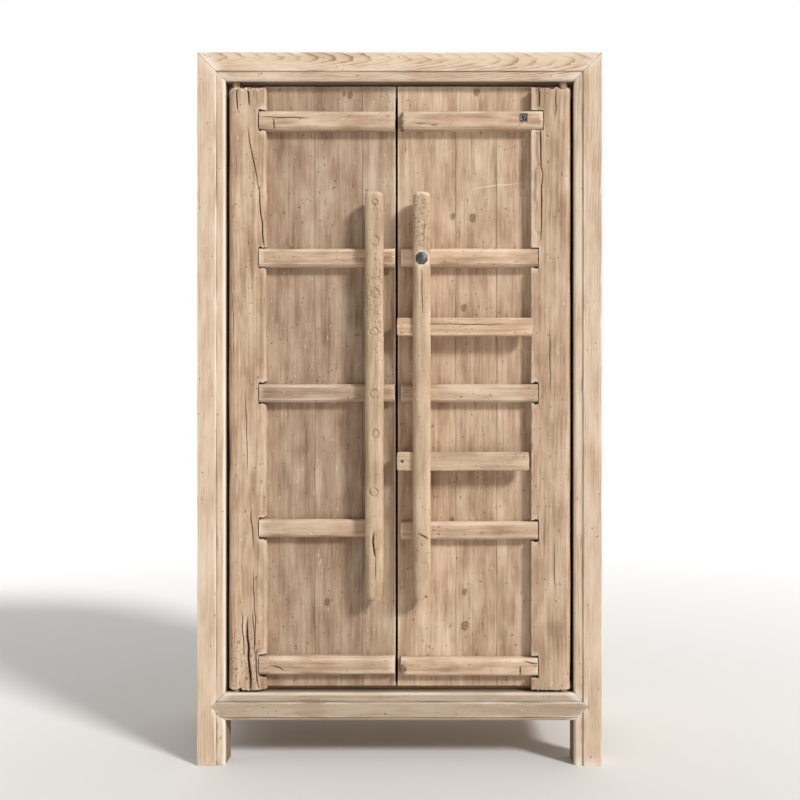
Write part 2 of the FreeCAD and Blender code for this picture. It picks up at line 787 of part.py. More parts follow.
def planks(side):
    bounds = {
        "outer": (door_cell(side, "edge") + side * cell.stile_rebate, door_cell(side, "outer_joint")),
        "middle": (door_cell(side, "outer_joint"), door_cell(side, "inner_joint")),
        "inner": (door_cell(side, "inner_joint"), door_cell(side, "meeting")),
    }
    for plank, width in bounds.items():
        body = new_body(f"{SIDE_NAMES[side]}_{plank}_plank")
        block(body, width, (plank_front, door_back), (cell.plank_bottom, cell.plank_top))
        at = door_cell(side, f"{plank}_nails")
        holes = [square(at, door_cell(side, f"level_{level}"), cell.nail_shank) for level in LEVELS]
        if plank == "inner":
            holes += [pole_nail(side, level, cell.pole_nail_shank) for level in pole_nail_levels(side)]
            if side == RIGHT:
                holes.append(spike_hole())
        extrude(body, "XZ", holes, plank_front - OVERCUT, door_back + OVERCUT, cut=True)
        if side == RIGHT and plank == "outer":
            extrude(body, "XZ", [plate_hole()], plank_front - OVERCUT, cell.plate_tip, cut=True)


def battens(side):
    for number_down, level in enumerate(LEVELS, 1):
        body = new_body(f"{SIDE_NAMES[side]}_batten_{number_down}")
        bottom, top = batten_heights(side, level)
        bevelled = cell.batten_front + cell.batten_bevel
        section = [
            (cell.batten_front, bottom + cell.batten_bevel),
            (bevelled, bottom),
            (plank_front, bottom),
            (plank_front, top),
            (bevelled, top),
            (cell.batten_front, top - cell.batten_bevel),
        ]
        extrude(body, "YZ", [section], *span(*batten_ends(side, level)))
        nails = batten_nails(side, level, cell.nail_shank)
        extrude(body, "XZ", nails, cell.nail_tip, plank_front + OVERCUT, cut=True)
        through = []
        if level in pole_nail_levels(side):
            through.append(pole_nail(side, level, cell.pole_nail_shank))
        elif level in POLE_LEVELS:
            through.append(spike_hole())
        if side == RIGHT and level == "top":
            through.append(plate_hole())
        if through:
            extrude(body, "XZ", through, cell.batten_front - OVERCUT, plank_front + OVERCUT, cut=True)


def bar_heights(bar):
    bottom = getattr(cell, f"{bar}_bar_bottom")
    return bottom, bottom + getattr(cell, f"{bar}_bar_height")


def latch_pole(side):
    """An upright pole, domed above and tapered below, notched over battens and mortised for bars."""
    body = new_body(f"{SIDE_NAMES[side]}_latch_pole")
    centre = door_cell(side, "pole")
    middle = cell.pole_depth / 2 - cell.pole_proud
    # Each section's height from the nearer end and its share of the full section.
    shares = [(0, 0.68), (18, 0.86), (60, 1)]
    sections = [(cell.pole_bottom + rise, share) for rise, share in shares]
    sections += [(cell.pole_top - drop, share) for drop, share in ((16, 1), (5, 0.93), (0, 0.76))]
    sketches = []
    for height, share in sections:
        ring = rounded(
            centre,
            middle,
            cell.pole_width / 2 * share,
            cell.pole_depth / 2 * share,
            cell.pole_round * share,
        )
        sketches.append(outline(body, "XY", [ring], height))
    loft = body.newObject("PartDesign::AdditiveLoft", "Loft")
    loft.Profile = sketches[0]
    loft.Sections = sketches[1:]
    loft.Ruled = True
    doc.recompute()
    edges = (centre - cell.pole_width / 2 - OVERCUT, centre + cell.pole_width / 2 + OVERCUT)
    notches = []
    for level in POLE_LEVELS:
        width = edges
        if side == LEFT and level == "lower":
            width = (edges[0], cell.left_short_batten)
        notches.append(rectangle(width, batten_heights(side, level)))
    extrude(body, "XZ", notches, cell.batten_front, pole_back + OVERCUT, cut=True)
    mortise = (-cell.bar_proud - cell.bar_play, bar_back + cell.bar_play)
    mortises = []
    for bar in ("upper", "lower"):
        bottom, top = bar_heights(bar)
        mortises.append(rectangle(mortise, (bottom - cell.bar_play, top + cell.bar_play)))
    extrude(body, "YZ", mortises, *edges, cut=True)
    nails = [pole_nail(side, level, cell.pole_nail_shank) for level in pole_nail_levels(side)]
    extrude(body, "XZ", nails, -cell.pole_nail_proud, pole_back, cut=True)
    if side == RIGHT:
        extrude(body, "XZ", [spike_hole()], -cell.pole_proud - OVERCUT, pole_back, cut=True)


def inside_nails(name, heads, shanks, tip):
    """Nails driven from the inside face, each with a flat square head."""
    body = new_body(name)
    body.AllowCompound = True
    extrude(body, "XZ", heads, door_back, door_back + cell.nail_head_thickness)
    extrude(body, "XZ", shanks, tip, door_back)


def door_nails(side):
    name = SIDE_NAMES[side]
    heads = [nail for level in LEVELS for nail in batten_nails(side, level, cell.nail_head)]
    shanks = [nail for level in LEVELS for nail in batten_nails(side, level, cell.nail_shank)]
    inside_nails(f"{name}_batten_nails", heads, shanks, cell.nail_tip)
    levels = pole_nail_levels(side)
    heads = [pole_nail(side, level, cell.nail_head) for level in levels]
    shanks = [pole_nail(side, level, cell.pole_nail_shank) for level in levels]
    inside_nails(f"{name}_pole_nails", heads, shanks, -cell.pole_nail_proud)


def octagon(x, y, width):
    """A regular octagon measured across its flats."""
    half = width / 2
    short = half * math.tan(math.pi / 8)
    quarter = [(half, short), (short, half)]
    corners = []
    for sign_x, sign_y, order in ((1, 1, 1), (-1, 1, -1), (-1, -1, 1), (1, -1, -1)):
        corners += [(x + sign_x * u, y + sign_y * v) for u, v in quarter[::order]]
    return corners


def pole_spike():
    """The big forged spike with a faceted head that holds the right pole to its batten."""
    body = new_body("pole_spike")
    rim = octagon(cell.right_pole, cell.spike_level, cell.spike_head)
    facet = octagon(cell.right_pole, cell.spike_level, cell.spike_crown)
    base = outline(body, "XZ", [rim], -cell.pole_proud)
    crown = outline(body, "XZ", [facet], -cell.pole_proud - cell.spike_proud)
    loft = body.newObject("PartDesign::AdditiveLoft", "Loft")
    loft.Profile = base
    loft.Sections = [crown]
    loft.Ruled = True
    doc.recompute()
    extrude(body, "XZ", [spike_hole()], -cell.pole_proud, door_back)


def plate_nail():
    """The small square-headed nail near the end of the right door's top batten."""
    body = new_body("batten_plate_nail")
    head = [square(cell.plate_along, cell.plate_level, cell.plate_head)]
    extrude(body, "XZ", head, cell.batten_front - cell.plate_proud, cell.batten_front)
    extrude(body, "XZ", [plate_hole()], cell.batten_front, cell.plate_tip)


for side in (LEFT, RIGHT):
    hinge_stile(side)
    planks(side)
    battens(side)
    latch_pole(side)
    door_nails(side)
pole_spike()
plate_nail()


# The latch bars, drawn to the right so that both doors are free to open


def latch_bar(bar):
    body = new_body(f"{bar}_latch_bar")
    bottom, top = bar_heights(bar)
    half_length = getattr(cell, f"{bar}_bar_length") / 2
    half_height = getattr(cell, f"{bar}_bar_height") / 2
    face = rounded(
        cell.bar_left_end + half_length, (bottom + top) / 2, half_length, half_height, cell.bar_corner
    )
    extrude(body, "XZ", [face], -cell.bar_proud, bar_back)
    faces = (number(-cell.bar_proud), number(bar_back))

    def on_a_face(edge):
        box = edge.BoundBox
        return box.YLength < 0.01 and any(abs(box.YMin - y) < 0.01 for y in faces)

    round_edges(body, cell.bar_edge, on_a_face)
    if bar == "lower":
        centre = (cell.bar_left_end + cell.peg_hole_inset, (bottom + top) / 2)
        hole = ("circle", *centre, cell.peg_hole_radius)
        extrude(body, "XZ", [hole], -cell.bar_proud - OVERCUT, bar_back + OVERCUT, cut=True)


for bar in ("upper", "lower"):
    latch_bar(bar)

doc.recompute()
for item in doc.Objects:
    if {"Invalid", "Error"} & set(item.State):
        raise RuntimeError(f"{item.Label} failed: {item.State}")
os.makedirs("parts", exist_ok=True)
for piece in subparts:
    if piece.Shape.isNull() or not piece.Shape.isValid():
        raise RuntimeError(f"{piece.Label} has no valid shape")
    piece.Shape.exportStep(f"parts/{piece.Label}.step")
print(len(subparts), "sub-parts,", round(sum(p.Shape.Volume for p in subparts) / 1e9, 4), "cubic metres")
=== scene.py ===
import json
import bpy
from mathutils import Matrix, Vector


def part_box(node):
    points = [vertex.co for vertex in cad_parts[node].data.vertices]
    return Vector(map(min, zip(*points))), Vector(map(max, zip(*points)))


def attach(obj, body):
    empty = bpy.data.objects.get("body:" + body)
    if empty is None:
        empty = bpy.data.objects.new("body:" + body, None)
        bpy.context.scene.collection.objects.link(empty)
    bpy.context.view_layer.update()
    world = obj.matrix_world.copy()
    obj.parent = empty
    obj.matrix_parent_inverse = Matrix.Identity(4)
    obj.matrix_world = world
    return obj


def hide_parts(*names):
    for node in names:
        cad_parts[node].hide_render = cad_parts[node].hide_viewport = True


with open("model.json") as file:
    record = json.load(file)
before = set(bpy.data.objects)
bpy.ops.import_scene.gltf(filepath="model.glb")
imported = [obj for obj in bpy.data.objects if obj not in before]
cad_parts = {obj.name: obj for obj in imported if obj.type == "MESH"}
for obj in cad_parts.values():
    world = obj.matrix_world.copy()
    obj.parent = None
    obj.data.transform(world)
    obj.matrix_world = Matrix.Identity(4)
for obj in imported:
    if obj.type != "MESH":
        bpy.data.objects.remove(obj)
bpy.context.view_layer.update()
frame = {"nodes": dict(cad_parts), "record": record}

import zlib
from math import cos, radians, sin

import bmesh
import bpy
import numpy as np
from mathutils import Vector
from mathutils.kdtree import KDTree


# Posts
# Four square posts of newer pine, planed, bleached and lightly sanded. The front pair has a stepped
# moulding along the opening. Their tops are mitred into the rails and their lower ends are the feet.
def linear(code):
    """Linear RGBA of an sRGB hex colour."""
    parts = [int(code[k:k + 2], 16) / 255 for k in (1, 3, 5)]
    return tuple(c / 12.92 if c <= 0.04045 else ((c + 0.055) / 1.055) ** 2.4 for c in parts) + (1.0,)


def add(tree, kind, inputs=None, stops=(), **settings):
    """Adds a node with its settings; an input is a plain value or the output that feeds it."""
    node = tree.nodes.new(kind)
    for name, value in settings.items():
        setattr(node, name, value)
    for number, (place, colour) in enumerate(stops):
        elements = node.color_ramp.elements
        stop = elements[number] if number < 2 else elements.new(place)
        stop.position = place
        stop.color = colour
    for socket, value in (inputs or {}).items():
        if isinstance(value, bpy.types.NodeSocket):
            tree.links.new(value, node.inputs[socket])
        else:
            node.inputs[socket].default_value = value
    return node


def pine(name, wear_and_highlight, pale, honey, brown, stains, pits, roughness, pit_mm=6.0):
    """Old softwood: stains and streaks, late wood, fibres, pits, flecks, knots, dirt, painted shade in
    corners and open splits, and painted highlight on rubbed edges.
    """
    # Across and along the grain. Fibres are drawn coarser than real ones, which are too fine to show.
    sizes_mm = {"fibre": (2.4, 75.0), "streak": (9.0, 300.0), "stain": (48.0, 170.0), "patch": (55.0, 80.0),
                "pit": (pit_mm, 1.5 * pit_mm), "fleck": (5.0, 13.0)}
    details = {"fibre": 2.0, "streak": 3.0, "stain": 4.0, "patch": 3.0}
    # The dirt colour also lays painted shade, gloom is painted shade in open splits, and the worn colour also
    # lays painted highlight.
    decay, whitewash, resin, dirt_and_shade, gloom = "#6a4d36", "#ecdcc6", "#644630", "#4b382a", "#2e2219"
    material = bpy.data.materials.new(name)
    material.use_nodes = True
    tree = material.node_tree
    shader = tree.nodes["Principled BSDF"]
    grain = add(tree, "ShaderNodeAttribute", attribute_name="grain").outputs["Vector"]
    marks = {mark: add(tree, "ShaderNodeAttribute", attribute_name=mark).outputs["Fac"]
             for mark in ("ring", "figure", "wear_and_highlight", "split", "knot", "grime_and_shade", "pitted", "tone")}
    place, layer, share = {}, {}, {}
    for key, (wide, long) in sizes_mm.items():
        scale = (1000 / long, 1000 / wide, 1000 / wide)
        place[key] = add(tree, "ShaderNodeMapping", {"Vector": grain, "Scale": scale}).outputs[0]
    for key, detail in details.items():
        layer[key] = add(tree, "ShaderNodeTexNoise", {"Vector": place[key], "Scale": 1.0, "Detail": detail,
                                                      "Roughness": 0.55})
    fibre, streak, stain, patch = (layer[key].outputs["Fac"] for key in details)

    def weighted(*terms, start=0.0):
        """Adds up values, each of them times its weight."""
        total = start
        for value, weight in terms:
            inputs = {0: value, 1: weight, 2: total}
            total = add(tree, "ShaderNodeMath", inputs, operation="MULTIPLY_ADD").outputs[0]
        return total

    def dyed(colour, *coats):
        """Lays tints over a colour, each by its share at a point times a strength."""
        for tint, amount, strength in coats:
            inputs = {0: weighted((amount, strength)), 6: colour, 7: linear(tint)}
            colour = add(tree, "ShaderNodeMix", inputs, data_type="RGBA").outputs[2]
        return colour

    def spots(key, bent_by, channel, amount, rim, core):
        """Ragged spots, of which a share shows, each filled in from its rim to its core."""
        bend = {0: layer[bent_by].outputs["Color"], 1: (9.0, 9.0, 9.0), 2: place[key]}
        ragged = add(tree, "ShaderNodeVectorMath", bend, operation="MULTIPLY_ADD")
        cells = add(tree, "ShaderNodeTexVoronoi", {"Vector": ragged.outputs[0], "Scale": 1.0})
        chance = add(tree, "ShaderNodeSeparateColor", {0: cells.outputs["Color"]})
        shown = add(tree, "ShaderNodeMath", {0: chance.outputs[channel], 1: amount}, operation="LESS_THAN")
        filled = add(tree, "ShaderNodeMapRange", {"Value": cells.outputs["Distance"], "From Min": rim,
                                                  "From Max": core})
        return weighted((filled.outputs[0], shown.outputs[0]))

    # Broad stains and long streaks together set the ground colour, and fibres break it up.
    mixed = weighted((fibre, 0.10), (patch, 0.18), (stain, 0.48), (streak, 0.24))
    half_range = 0.23 / stains
    # A range turns a texture into a share: where it starts and stops, and the share at both.
    ranges = {"ground": (mixed, 0.5 - half_range, 0.5 + half_range, 0.0, 1.0),
              "dark_fibre": (fibre, 0.47, 0.25, 0.0, 1.0), "pale_fibre": (fibre, 0.56, 0.78, 0.0, 1.0),
              "late_wood": (stain, 0.40, 0.62, 1.0, 0.15),
              "pits": (patch, 0.50, 0.70, 0.25 * pits, 3.5 * pits),
              "flecks": (patch, 0.52, 0.30, 0.05 * pits, 3.0 * pits),
              "roughness": (fibre, 0.3, 0.7, roughness + 0.08, roughness - 0.08)}
    for key, (texture, start, stop, first, last) in ranges.items():
        share[key] = add(tree, "ShaderNodeMapRange", {"Value": texture, "From Min": start, "From Max": stop,
                                                      "To Min": first, "To Max": last}).outputs[0]
    ground = add(tree, "ShaderNodeValToRGB", {"Fac": share["ground"]},
                 stops=((0.0, linear(brown)), (0.5, linear(honey)), (1.0, linear(pale))))
    # Late wood darkens towards the end of each ring, then stops sharply. It fades where the wood is pale.
    phase = add(tree, "ShaderNodeMath", {0: weighted((streak, 1.1), start=marks["ring"])}, operation="FRACT")
    black, dim, white = ((v, v, v, 1) for v in (0, 0.1, 1))
    ripe = add(tree, "ShaderNodeValToRGB", {"Fac": phase.outputs[0]},
               stops=((0.0, black), (0.55, dim), (0.88, white), (0.97, black)))
    late = weighted((ripe.outputs[0], weighted((share["late_wood"], marks["figure"]))))
    colour = dyed(ground.outputs[0], (brown, share["dark_fibre"], 0.30), (pale, share["pale_fibre"], 0.35),
                  (brown, late, 1.0))
    lightness = weighted((marks["tone"], 0.3), start=1.0)
    colour = add(tree, "ShaderNodeHueSaturation", {"Value": lightness, "Color": colour}).outputs[0]
    # Pits are worm holes and torn fibres; flecks are grains of old whitewash. Both come in patches.
    pit = spots("pit", "patch", 0, weighted((marks["pitted"], 0.9), start=share["pits"]), 0.46, 0.18)
    fleck = spots("fleck", "stain", 1, share["flecks"], 0.45, 0.10)
    # Knots, rubbed places, dirt, painted shade in inside corners, hollows, recesses and open splits, and
    # painted highlight along openings are marked on the timber itself.
    colour = dyed(colour, (decay, pit, 0.68), (whitewash, fleck, 0.45), (resin, marks["knot"], 0.95),
                  (wear_and_highlight, marks["wear_and_highlight"], 0.8), (dirt_and_shade, marks["grime_and_shade"], 0.85), (gloom, marks["split"], 1.0))
    tree.links.new(colour, shader.inputs["Base Color"])
    tree.links.new(share["roughness"], shader.inputs["Roughness"])
    # Weather eats the soft early wood first, so fibres and late wood stand proud. The height is in mm.
    height = weighted((streak, 0.7), (fibre, 0.5), (late, 0.3), (pit, -1.2))
    bump = add(tree, "ShaderNodeBump", {"Height": height, "Strength": 0.9, "Distance": 0.001})
    tree.links.new(bump.outputs[0], shader.inputs["Normal"])
    shader.inputs["IOR"].default_value = 1.5
    shader.inputs["Specular IOR Level"].default_value = 0.25
    return material


def noise(cells, seed):
    """Smooth random values from -1 to 1 that change over about one cell."""
    primes, seed_prime = np.array([374761393, 668265263, 1274126177]), 144269
    scrambles = ((13, 1103515245, 12345), (15, 1597334677, 0))  # a shift, a factor and what is added
    low_bits, levels = 0x7FFFFFFF, 65536
    corner = np.floor(cells).astype(np.int64)
    part = cells - corner
    part = part * part * (3 - 2 * part)
    total = np.zeros(len(cells))
    for step in np.ndindex(2, 2, 2):
        key = (corner + step) @ primes + seed * seed_prime
        for shift, factor, extra in scrambles:
            key = ((key ^ (key >> shift)) * factor + extra) & low_bits
        value = (key >> 8) % levels / (levels / 2 - 0.5) - 1
        total += np.prod(np.where(step, part, 1 - part), axis=1) * value
    return total


def solid(node):
    """Points and triangles of a solid from the frame, with doubled points made one."""
    steps_per_m = 1e5
    mesh = frame["nodes"][node].data
    mesh.calc_loop_triangles()
    points = np.empty(len(mesh.vertices) * 3)
    mesh.vertices.foreach_get("co", points)
    faces = np.empty(len(mesh.loop_triangles) * 3, np.int32)
    mesh.loop_triangles.foreach_get("vertices", faces)
    points = points.reshape(-1, 3)
    rounded = np.round(points * steps_per_m).astype(np.int64)
    _, first, place = np.unique(rounded, axis=0, return_index=True, return_inverse=True)
    faces = place.ravel()[faces].reshape(-1, 3)
    whole = (faces != np.roll(faces, 1, axis=1)).all(axis=1)
    return points[first], faces[whole]


def sawn(points, faces, axis, places):
    """Adds points where planes across an axis cut the surface, so that a mark there stays sharp."""
    shape = bmesh.new()
    corners = [shape.verts.new(point) for point in points]
    for face in faces:
        shape.faces.new([corners[k] for k in face])
    across = Vector([float(k == axis) for k in range(3)])
    for place in places:
        everything = shape.verts[:] + shape.edges[:] + shape.faces[:]
        bmesh.ops.bisect_plane(shape, geom=everything, dist=1e-6, plane_co=across * place, plane_no=across)
    bmesh.ops.triangulate(shape, faces=shape.faces[:])
    shape.verts.index_update()
    points = np.array([point.co for point in shape.verts])
    faces = np.array([[point.index for point in face.verts] for face in shape.faces])
    shape.free()
    return points, faces


def refine(points, faces, spacing, shrink, wanted=None):
    """Halves edges longer than the spacing, at most 12 times, lengths along the grain being shrunk first."""
    near_longest = 0.6
    for _ in range(12):
        ends = np.sort(faces[:, [0, 1, 1, 2, 2, 0]].reshape(-1, 2), axis=1)
        keys, place = np.unique(ends[:, 0] * len(points) + ends[:, 1], return_inverse=True)
        place = place.reshape(-1, 3)
        start, stop = points[keys // len(points)], points[keys % len(points)]
        middle = (start + stop) / 2
        length = np.linalg.norm((stop - start)[:, :3] * shrink, axis=1)
        if wanted is not None:
            long = np.nonzero(length > spacing)[0]
            length[length <= spacing] = 0
            half = np.linalg.norm((stop - start)[long, :3], axis=1) / 2
            length[long[~wanted(middle[long], half)]] = 0
        side = length[place]
        halved = np.zeros(len(keys), bool)
        halved[place[(side > spacing) & (side > near_longest * side.max(axis=1, keepdims=True))]] = True
        if not halved.any():
            break
        fresh = np.full(len(keys), -1)
        fresh[halved] = len(points) + np.arange(halved.sum())
        points = np.vstack([points, middle[halved]])
        cut = fresh[place]
        count = (cut >= 0).sum(axis=1)
        parts = [faces[count == 0]]
        for number in (1, 2, 3):
            chosen = count == number
            turn = np.argmax(cut[chosen] >= 0, axis=1)
            if number == 2:
                turn = np.argmax(cut[chosen] < 0, axis=1) + 1
            order = (turn[:, None] + np.arange(3)) % 3
            a, b, c = np.take_along_axis(faces[chosen], order, axis=1).T
            p, q, r = np.take_along_axis(cut[chosen], order, axis=1).T
            if number == 1:
                pieces = [(a, p, c), (p, b, c)]
            elif number == 2:
                from_p, from_a = (np.linalg.norm(points[k] - points[m], axis=1) for k, m in ((p, c), (a, q)))
                shorter = from_p < from_a
                pieces = [(p, b, q), (a, p, np.where(shorter, c, q)), (np.where(shorter, p, a), q, c)]
            else:
                pieces = [(a, p, r), (p, b, q), (r, q, c), (p, q, r)]
            parts += [np.stack(piece, axis=1) for piece in pieces]
        faces = np.vstack(parts)
    return points, faces


tiny = 1e-15  # keeps a division by a vanishing length finite


def flat_normals(points, faces):
    """The way that each triangle faces."""
    corners = points[faces]
    normals = np.cross(corners[:, 1] - corners[:, 0], corners[:, 2] - corners[:, 0])
    return normals / np.maximum(np.linalg.norm(normals, axis=1, keepdims=True), tiny)


def facing(points, faces):
    """The way that each point faces, with each triangle there weighted by its angle."""
    corners, flat = points[faces], flat_normals(points, faces)
    normals = np.zeros_like(points)
    for k in range(3):
        out = corners[:, (k + 1) % 3] - corners[:, k]
        back = corners[:, (k + 2) % 3] - corners[:, k]
        size = np.maximum(np.linalg.norm(out, axis=1) * np.linalg.norm(back, axis=1), tiny)
        angle = np.arccos(np.clip((out * back).sum(axis=1) / size, -1, 1))
        for column in range(3):
            normals[:, column] += np.bincount(faces[:, k], flat[:, column] * angle, len(points))
    return normals / np.maximum(np.linalg.norm(normals, axis=1, keepdims=True), tiny)


def arrises(points, faces):
    """Both ends of each edge where two faces meet, first at outside corners, then at inside ones."""
    fold_cosine, least_rise = 0.85, 1e-6
    normals = flat_normals(points, faces)
    ends = np.sort(faces[:, [0, 1, 1, 2, 2, 0]].reshape(-1, 2), axis=1)
    key = ends[:, 0] * len(points) + ends[:, 1]
    order = np.argsort(key, kind="stable")
    twin = np.nonzero(key[order][1:] == key[order][:-1])[0]
    one, two = order[twin] // 3, order[twin + 1] // 3
    ends = ends[order[twin]]
    far = faces[two].sum(axis=1) - ends.sum(axis=1)
    folded = (normals[one] * normals[two]).sum(axis=1) < fold_cosine
    rise = ((points[far] - points[ends[:, 0]]) * normals[one]).sum(axis=1)
    outside, inside = ends[folded & (rise < -least_rise)], ends[folded & (rise > least_rise)]
    return points[outside[:, 0]], points[outside[:, 1]], points[inside[:, 0]], points[inside[:, 1]]


def gap_to_arris(points, start, stop):
    """Distance from each point to the nearest of these edges, or 1 m where there is none."""
    if not len(start):
        return np.ones(len(points))
    sample_step = 0.004
    counts = np.ceil(np.linalg.norm(stop - start, axis=1) / sample_step).astype(int) + 1
    owner = np.repeat(np.arange(len(start)), counts)
    share = np.concatenate([np.linspace(0, 1, n) for n in counts])[:, None]
    samples = start[owner] * (1 - share) + stop[owner] * share
    tree = KDTree(len(samples))
    for number, sample in enumerate(samples.tolist()):
        tree.insert(sample, number)
    tree.balance()
    nearest = owner[[tree.find(point)[1] for point in points.tolist()]]
    line = stop[nearest] - start[nearest]
    share = ((points - start[nearest]) * line).sum(axis=1) / np.maximum((line ** 2).sum(axis=1), tiny)
    return np.linalg.norm(points - start[nearest] - np.clip(share, 0, 1)[:, None] * line, axis=1)


def off_split(points, split):
    """Distance across, in m, from a split on the front face, and its opening from 0 at the ends to 1."""
    swing_long = 0.03
    (x1, z1), (x2, z2), width, _ = split
    start, line = np.array([x1, z1]) / 1000, np.array([x2 - x1, z2 - z1]) / 1000
    length = np.hypot(*line)
    offset = points[:, [0, 2]] - start
    share = offset @ line / length ** 2
    along = np.stack([share * length / swing_long, 0 * share, 0 * share], axis=1)
    swing = 0.9 * width / 1000 * noise(along, int(x1 + z1))
    across = np.abs((offset[:, 0] * line[1] - offset[:, 1] * line[0]) / length + swing)
    opening = np.clip(1 - np.abs(2 * share - 1) ** 3, 0, None)
    return across, opening * ((share > 0) & (share < 1))


def beside_split(points, half, splits):
    """Which edges, given by middle and half length, lie in or close beside one of the splits."""
    front_deep = 0.02
    close = np.zeros(len(points), bool)
    for split in splits:
        across, opening = off_split(points, split)
        close |= (across < 1.2 * split[2] / 1000 + half) & (opening > 0)
    return close & (points[:, 1] < points[:, 1].min() + front_deep)


def near_spots(points, half, spots):
    """Which edges on the front, given by middle and half length, lie on or beside a spot."""
    front_deep = 0.03
    close = np.zeros(len(points), bool)
    for (x, z), size in spots:
        close |= np.hypot(points[:, 0] - x / 1000, points[:, 2] - z / 1000) < 1.7 * size / 1000 + half
    return close & (points[:, 1] < points[:, 1].min() + front_deep)


def off_spot(points, spot):
    """Distance of each point from the middle of a spot on the front, in radii of the spot."""
    (x, z), size = spot
    return np.hypot(points[:, 0] - x / 1000, points[:, 2] - z / 1000) / (size / 1000)


class Timber:
    """A solid of the frame cut fine, what time has done to it at each of its points, and the painted shade
    and highlight laid on it.

    Sizes are given in mm and kept in m. A split is ((x, z), (x, z), width, depth) and a spot is
    ((x, z), radius), both on the front face.
    """

    def __init__(self, node, grain, boards):
        self.node, self.grain, self.boards = node, grain, boards
        self.seed = zlib.crc32(node.encode()) % 100000
        self.chance = np.random.default_rng(self.seed)
        self.along = "XYZ".index(grain)
        self.wide, self.deep = {"X": (2, 1), "Y": (0, 2), "Z": (0, 1)}[grain]
        self.points, self.faces = solid(node)
        self.broad = max(self.wide, self.deep, key=lambda k: np.ptp(self.points[:, k]))
        low, high = self.points[:, self.broad].min(), self.points[:, self.broad].max()
        uneven = self.chance.uniform(-0.15, 0.15, boards - 1)
        self.joints = low + (high - low) * (np.arange(1, boards) + uneven) / boards
        self.limits = np.concatenate([[low], self.joints, [high]])
        if boards > 1:
            groove = 0.0009
            cuts = [joint + off for joint in self.joints for off in (-groove, 0, groove)]
            self.points, self.faces = sawn(self.points, self.faces, self.broad, cuts)

    def cut(self, spacing, fine, edge, splits, spots):
        """Makes the mesh as fine as its corners, splits and spots need, and finds each point's board."""
        split_step, spot_step, corner_reach = 0.0018, 0.0024, 0.003
        even, shrink = np.ones(3), np.ones(3)
        shrink[self.along] = 0.2
        start, stop, *self.inside = arrises(self.points, self.faces)
        points, faces = refine(self.points, self.faces, spacing / 1000, shrink)
        points = np.column_stack([points, gap_to_arris(points, start, stop)])
        if edge > 1:
            points, faces = refine(points, faces, fine / 1000, shrink,
                                   lambda at, half: at[:, 3] < corner_reach)
        if splits:
            points, faces = refine(points, faces, split_step, even,
                                   lambda at, half: beside_split(at, half, splits))
        if spots:
            points, faces = refine(points, faces, spot_step, even,
                                   lambda at, half: near_spots(at, half, spots))
        self.points, self.faces, self.gap = points[:, :3], faces, points[:, 3]
        self.normals = facing(self.points, faces)
        # The front face counts fully, a slope less and the sides not at all.
        self.front = np.clip(-self.normals[:, 1] * 2 - 0.6, 0, 1)
        lowest, highest = self.points.min(axis=0), self.points.max(axis=0)
        self.behind_mm = (self.points[:, 1] - lowest[1]) * 1000
        local = self.points - (lowest + highest) / 2
        self.which = np.searchsorted(self.joints, self.points[:, self.broad])
        middles = (self.limits[:-1] + self.limits[1:])[self.which] / 2
        local[:, self.broad] = self.points[:, self.broad] - middles
        self.board = np.stack([local[:, k] for k in (self.along, self.wide, self.deep)], axis=1)

    def varied(self, along, across, through, step):
        """Random values from -1 to 1 that change over these lengths of the board."""
        return noise(self.board / (np.array([along, across, through]) / 1000), self.seed + step)

    def wear(self, edge, dents, waver):
        """Rubs the corners round, with a few deeper knocks, and hollows the faces. Nothing stands proud."""
        on_corner, least_radius, seam_half, seam_deep = 2e-5, 0.0002, 0.0004, 0.0012
        rub_and_paint_light = 0.75 + 0.5 * self.varied(120, 50, 50, 0) + 0.3 * self.varied(20, 30, 30, 1)
        knock = np.clip(self.varied(35, 60, 60, 2) - 0.45, 0, None) * 2.0
        radius = np.clip(edge / 1000 * (rub_and_paint_light + knock), least_radius, 2.0 * edge / 1000)
        inset = np.clip(radius - self.gap, 0, None)
        rounded = radius - np.sqrt(np.maximum(radius ** 2 - inset ** 2, 0))
        self.sunk = np.where(self.gap < on_corner, 0.41 * radius, rounded)
        self.sunk += dents / 1000 * (0.35 + 0.35 * self.varied(200, 50, 50, 3))
        self.sunk += dents / 1000 * 0.35 * (0.5 + 0.5 * self.varied(70, 12, 12, 4))
        # Boards joined edge to edge leave a fine open line.
        self.seam = np.zeros(len(self.points))
        for joint in self.joints:
            self.seam[np.abs(self.points[:, self.broad] - joint) < seam_half] = 1
        self.sunk += seam_deep * self.seam
        # The long edges run a little out of line.
        drift = 0.5 + 0.5 * self.varied(110, 30, 9000, 16)
        self.sunk += waver / 1000 * self.normals[:, self.wide] ** 2 * drift

    def split(self, splits):
        """Opens drying splits in the front, filled with painted shade that is darker where a split is deeper
        and narrower. One less than 1 mm deep is a pale scratch.
        """
        self.split_shade, self.scratched = np.zeros(len(self.points)), np.zeros(len(self.points))
        for split in splits:
            width, depth = split[2:]
            across, opening = off_split(self.points, split)
            shape = np.exp(-(across / (0.5 * width / 1000)) ** 2) * opening * self.front
            self.sunk += depth / 1000 * shape
            if depth < 1:
                self.scratched = np.maximum(self.scratched, shape)
            else:
                # Painted shade in the split, darker as it is deeper for its width.
                self.split_shade = np.maximum(self.split_shade, shape * min(1.0, 0.45 * depth / width))

    def burl(self, burls):
        """Overgrown knots stand in a ring-shaped hollow, darkened with painted shade."""
        ring_deep = 0.003
        self.groove_shade = np.zeros(len(self.points))
        for spot in burls:
            size = spot[1]
            uneven = noise(self.points / (size / 1000), self.seed + 10)
            away = off_spot(self.points, spot) * (1 + 0.2 * uneven)
            hollow = np.exp(-((away - 1) / 0.24) ** 2) * self.front
            broken = noise(self.points / (0.8 * size / 1000), self.seed + 11)
            hollow *= np.clip(0.75 + 0.7 * broken, 0, 1)
            self.sunk += ring_deep * hollow
            # Painted shade in the ring hollow.
            self.groove_shade = np.maximum(self.groove_shade, 0.3 * hollow)

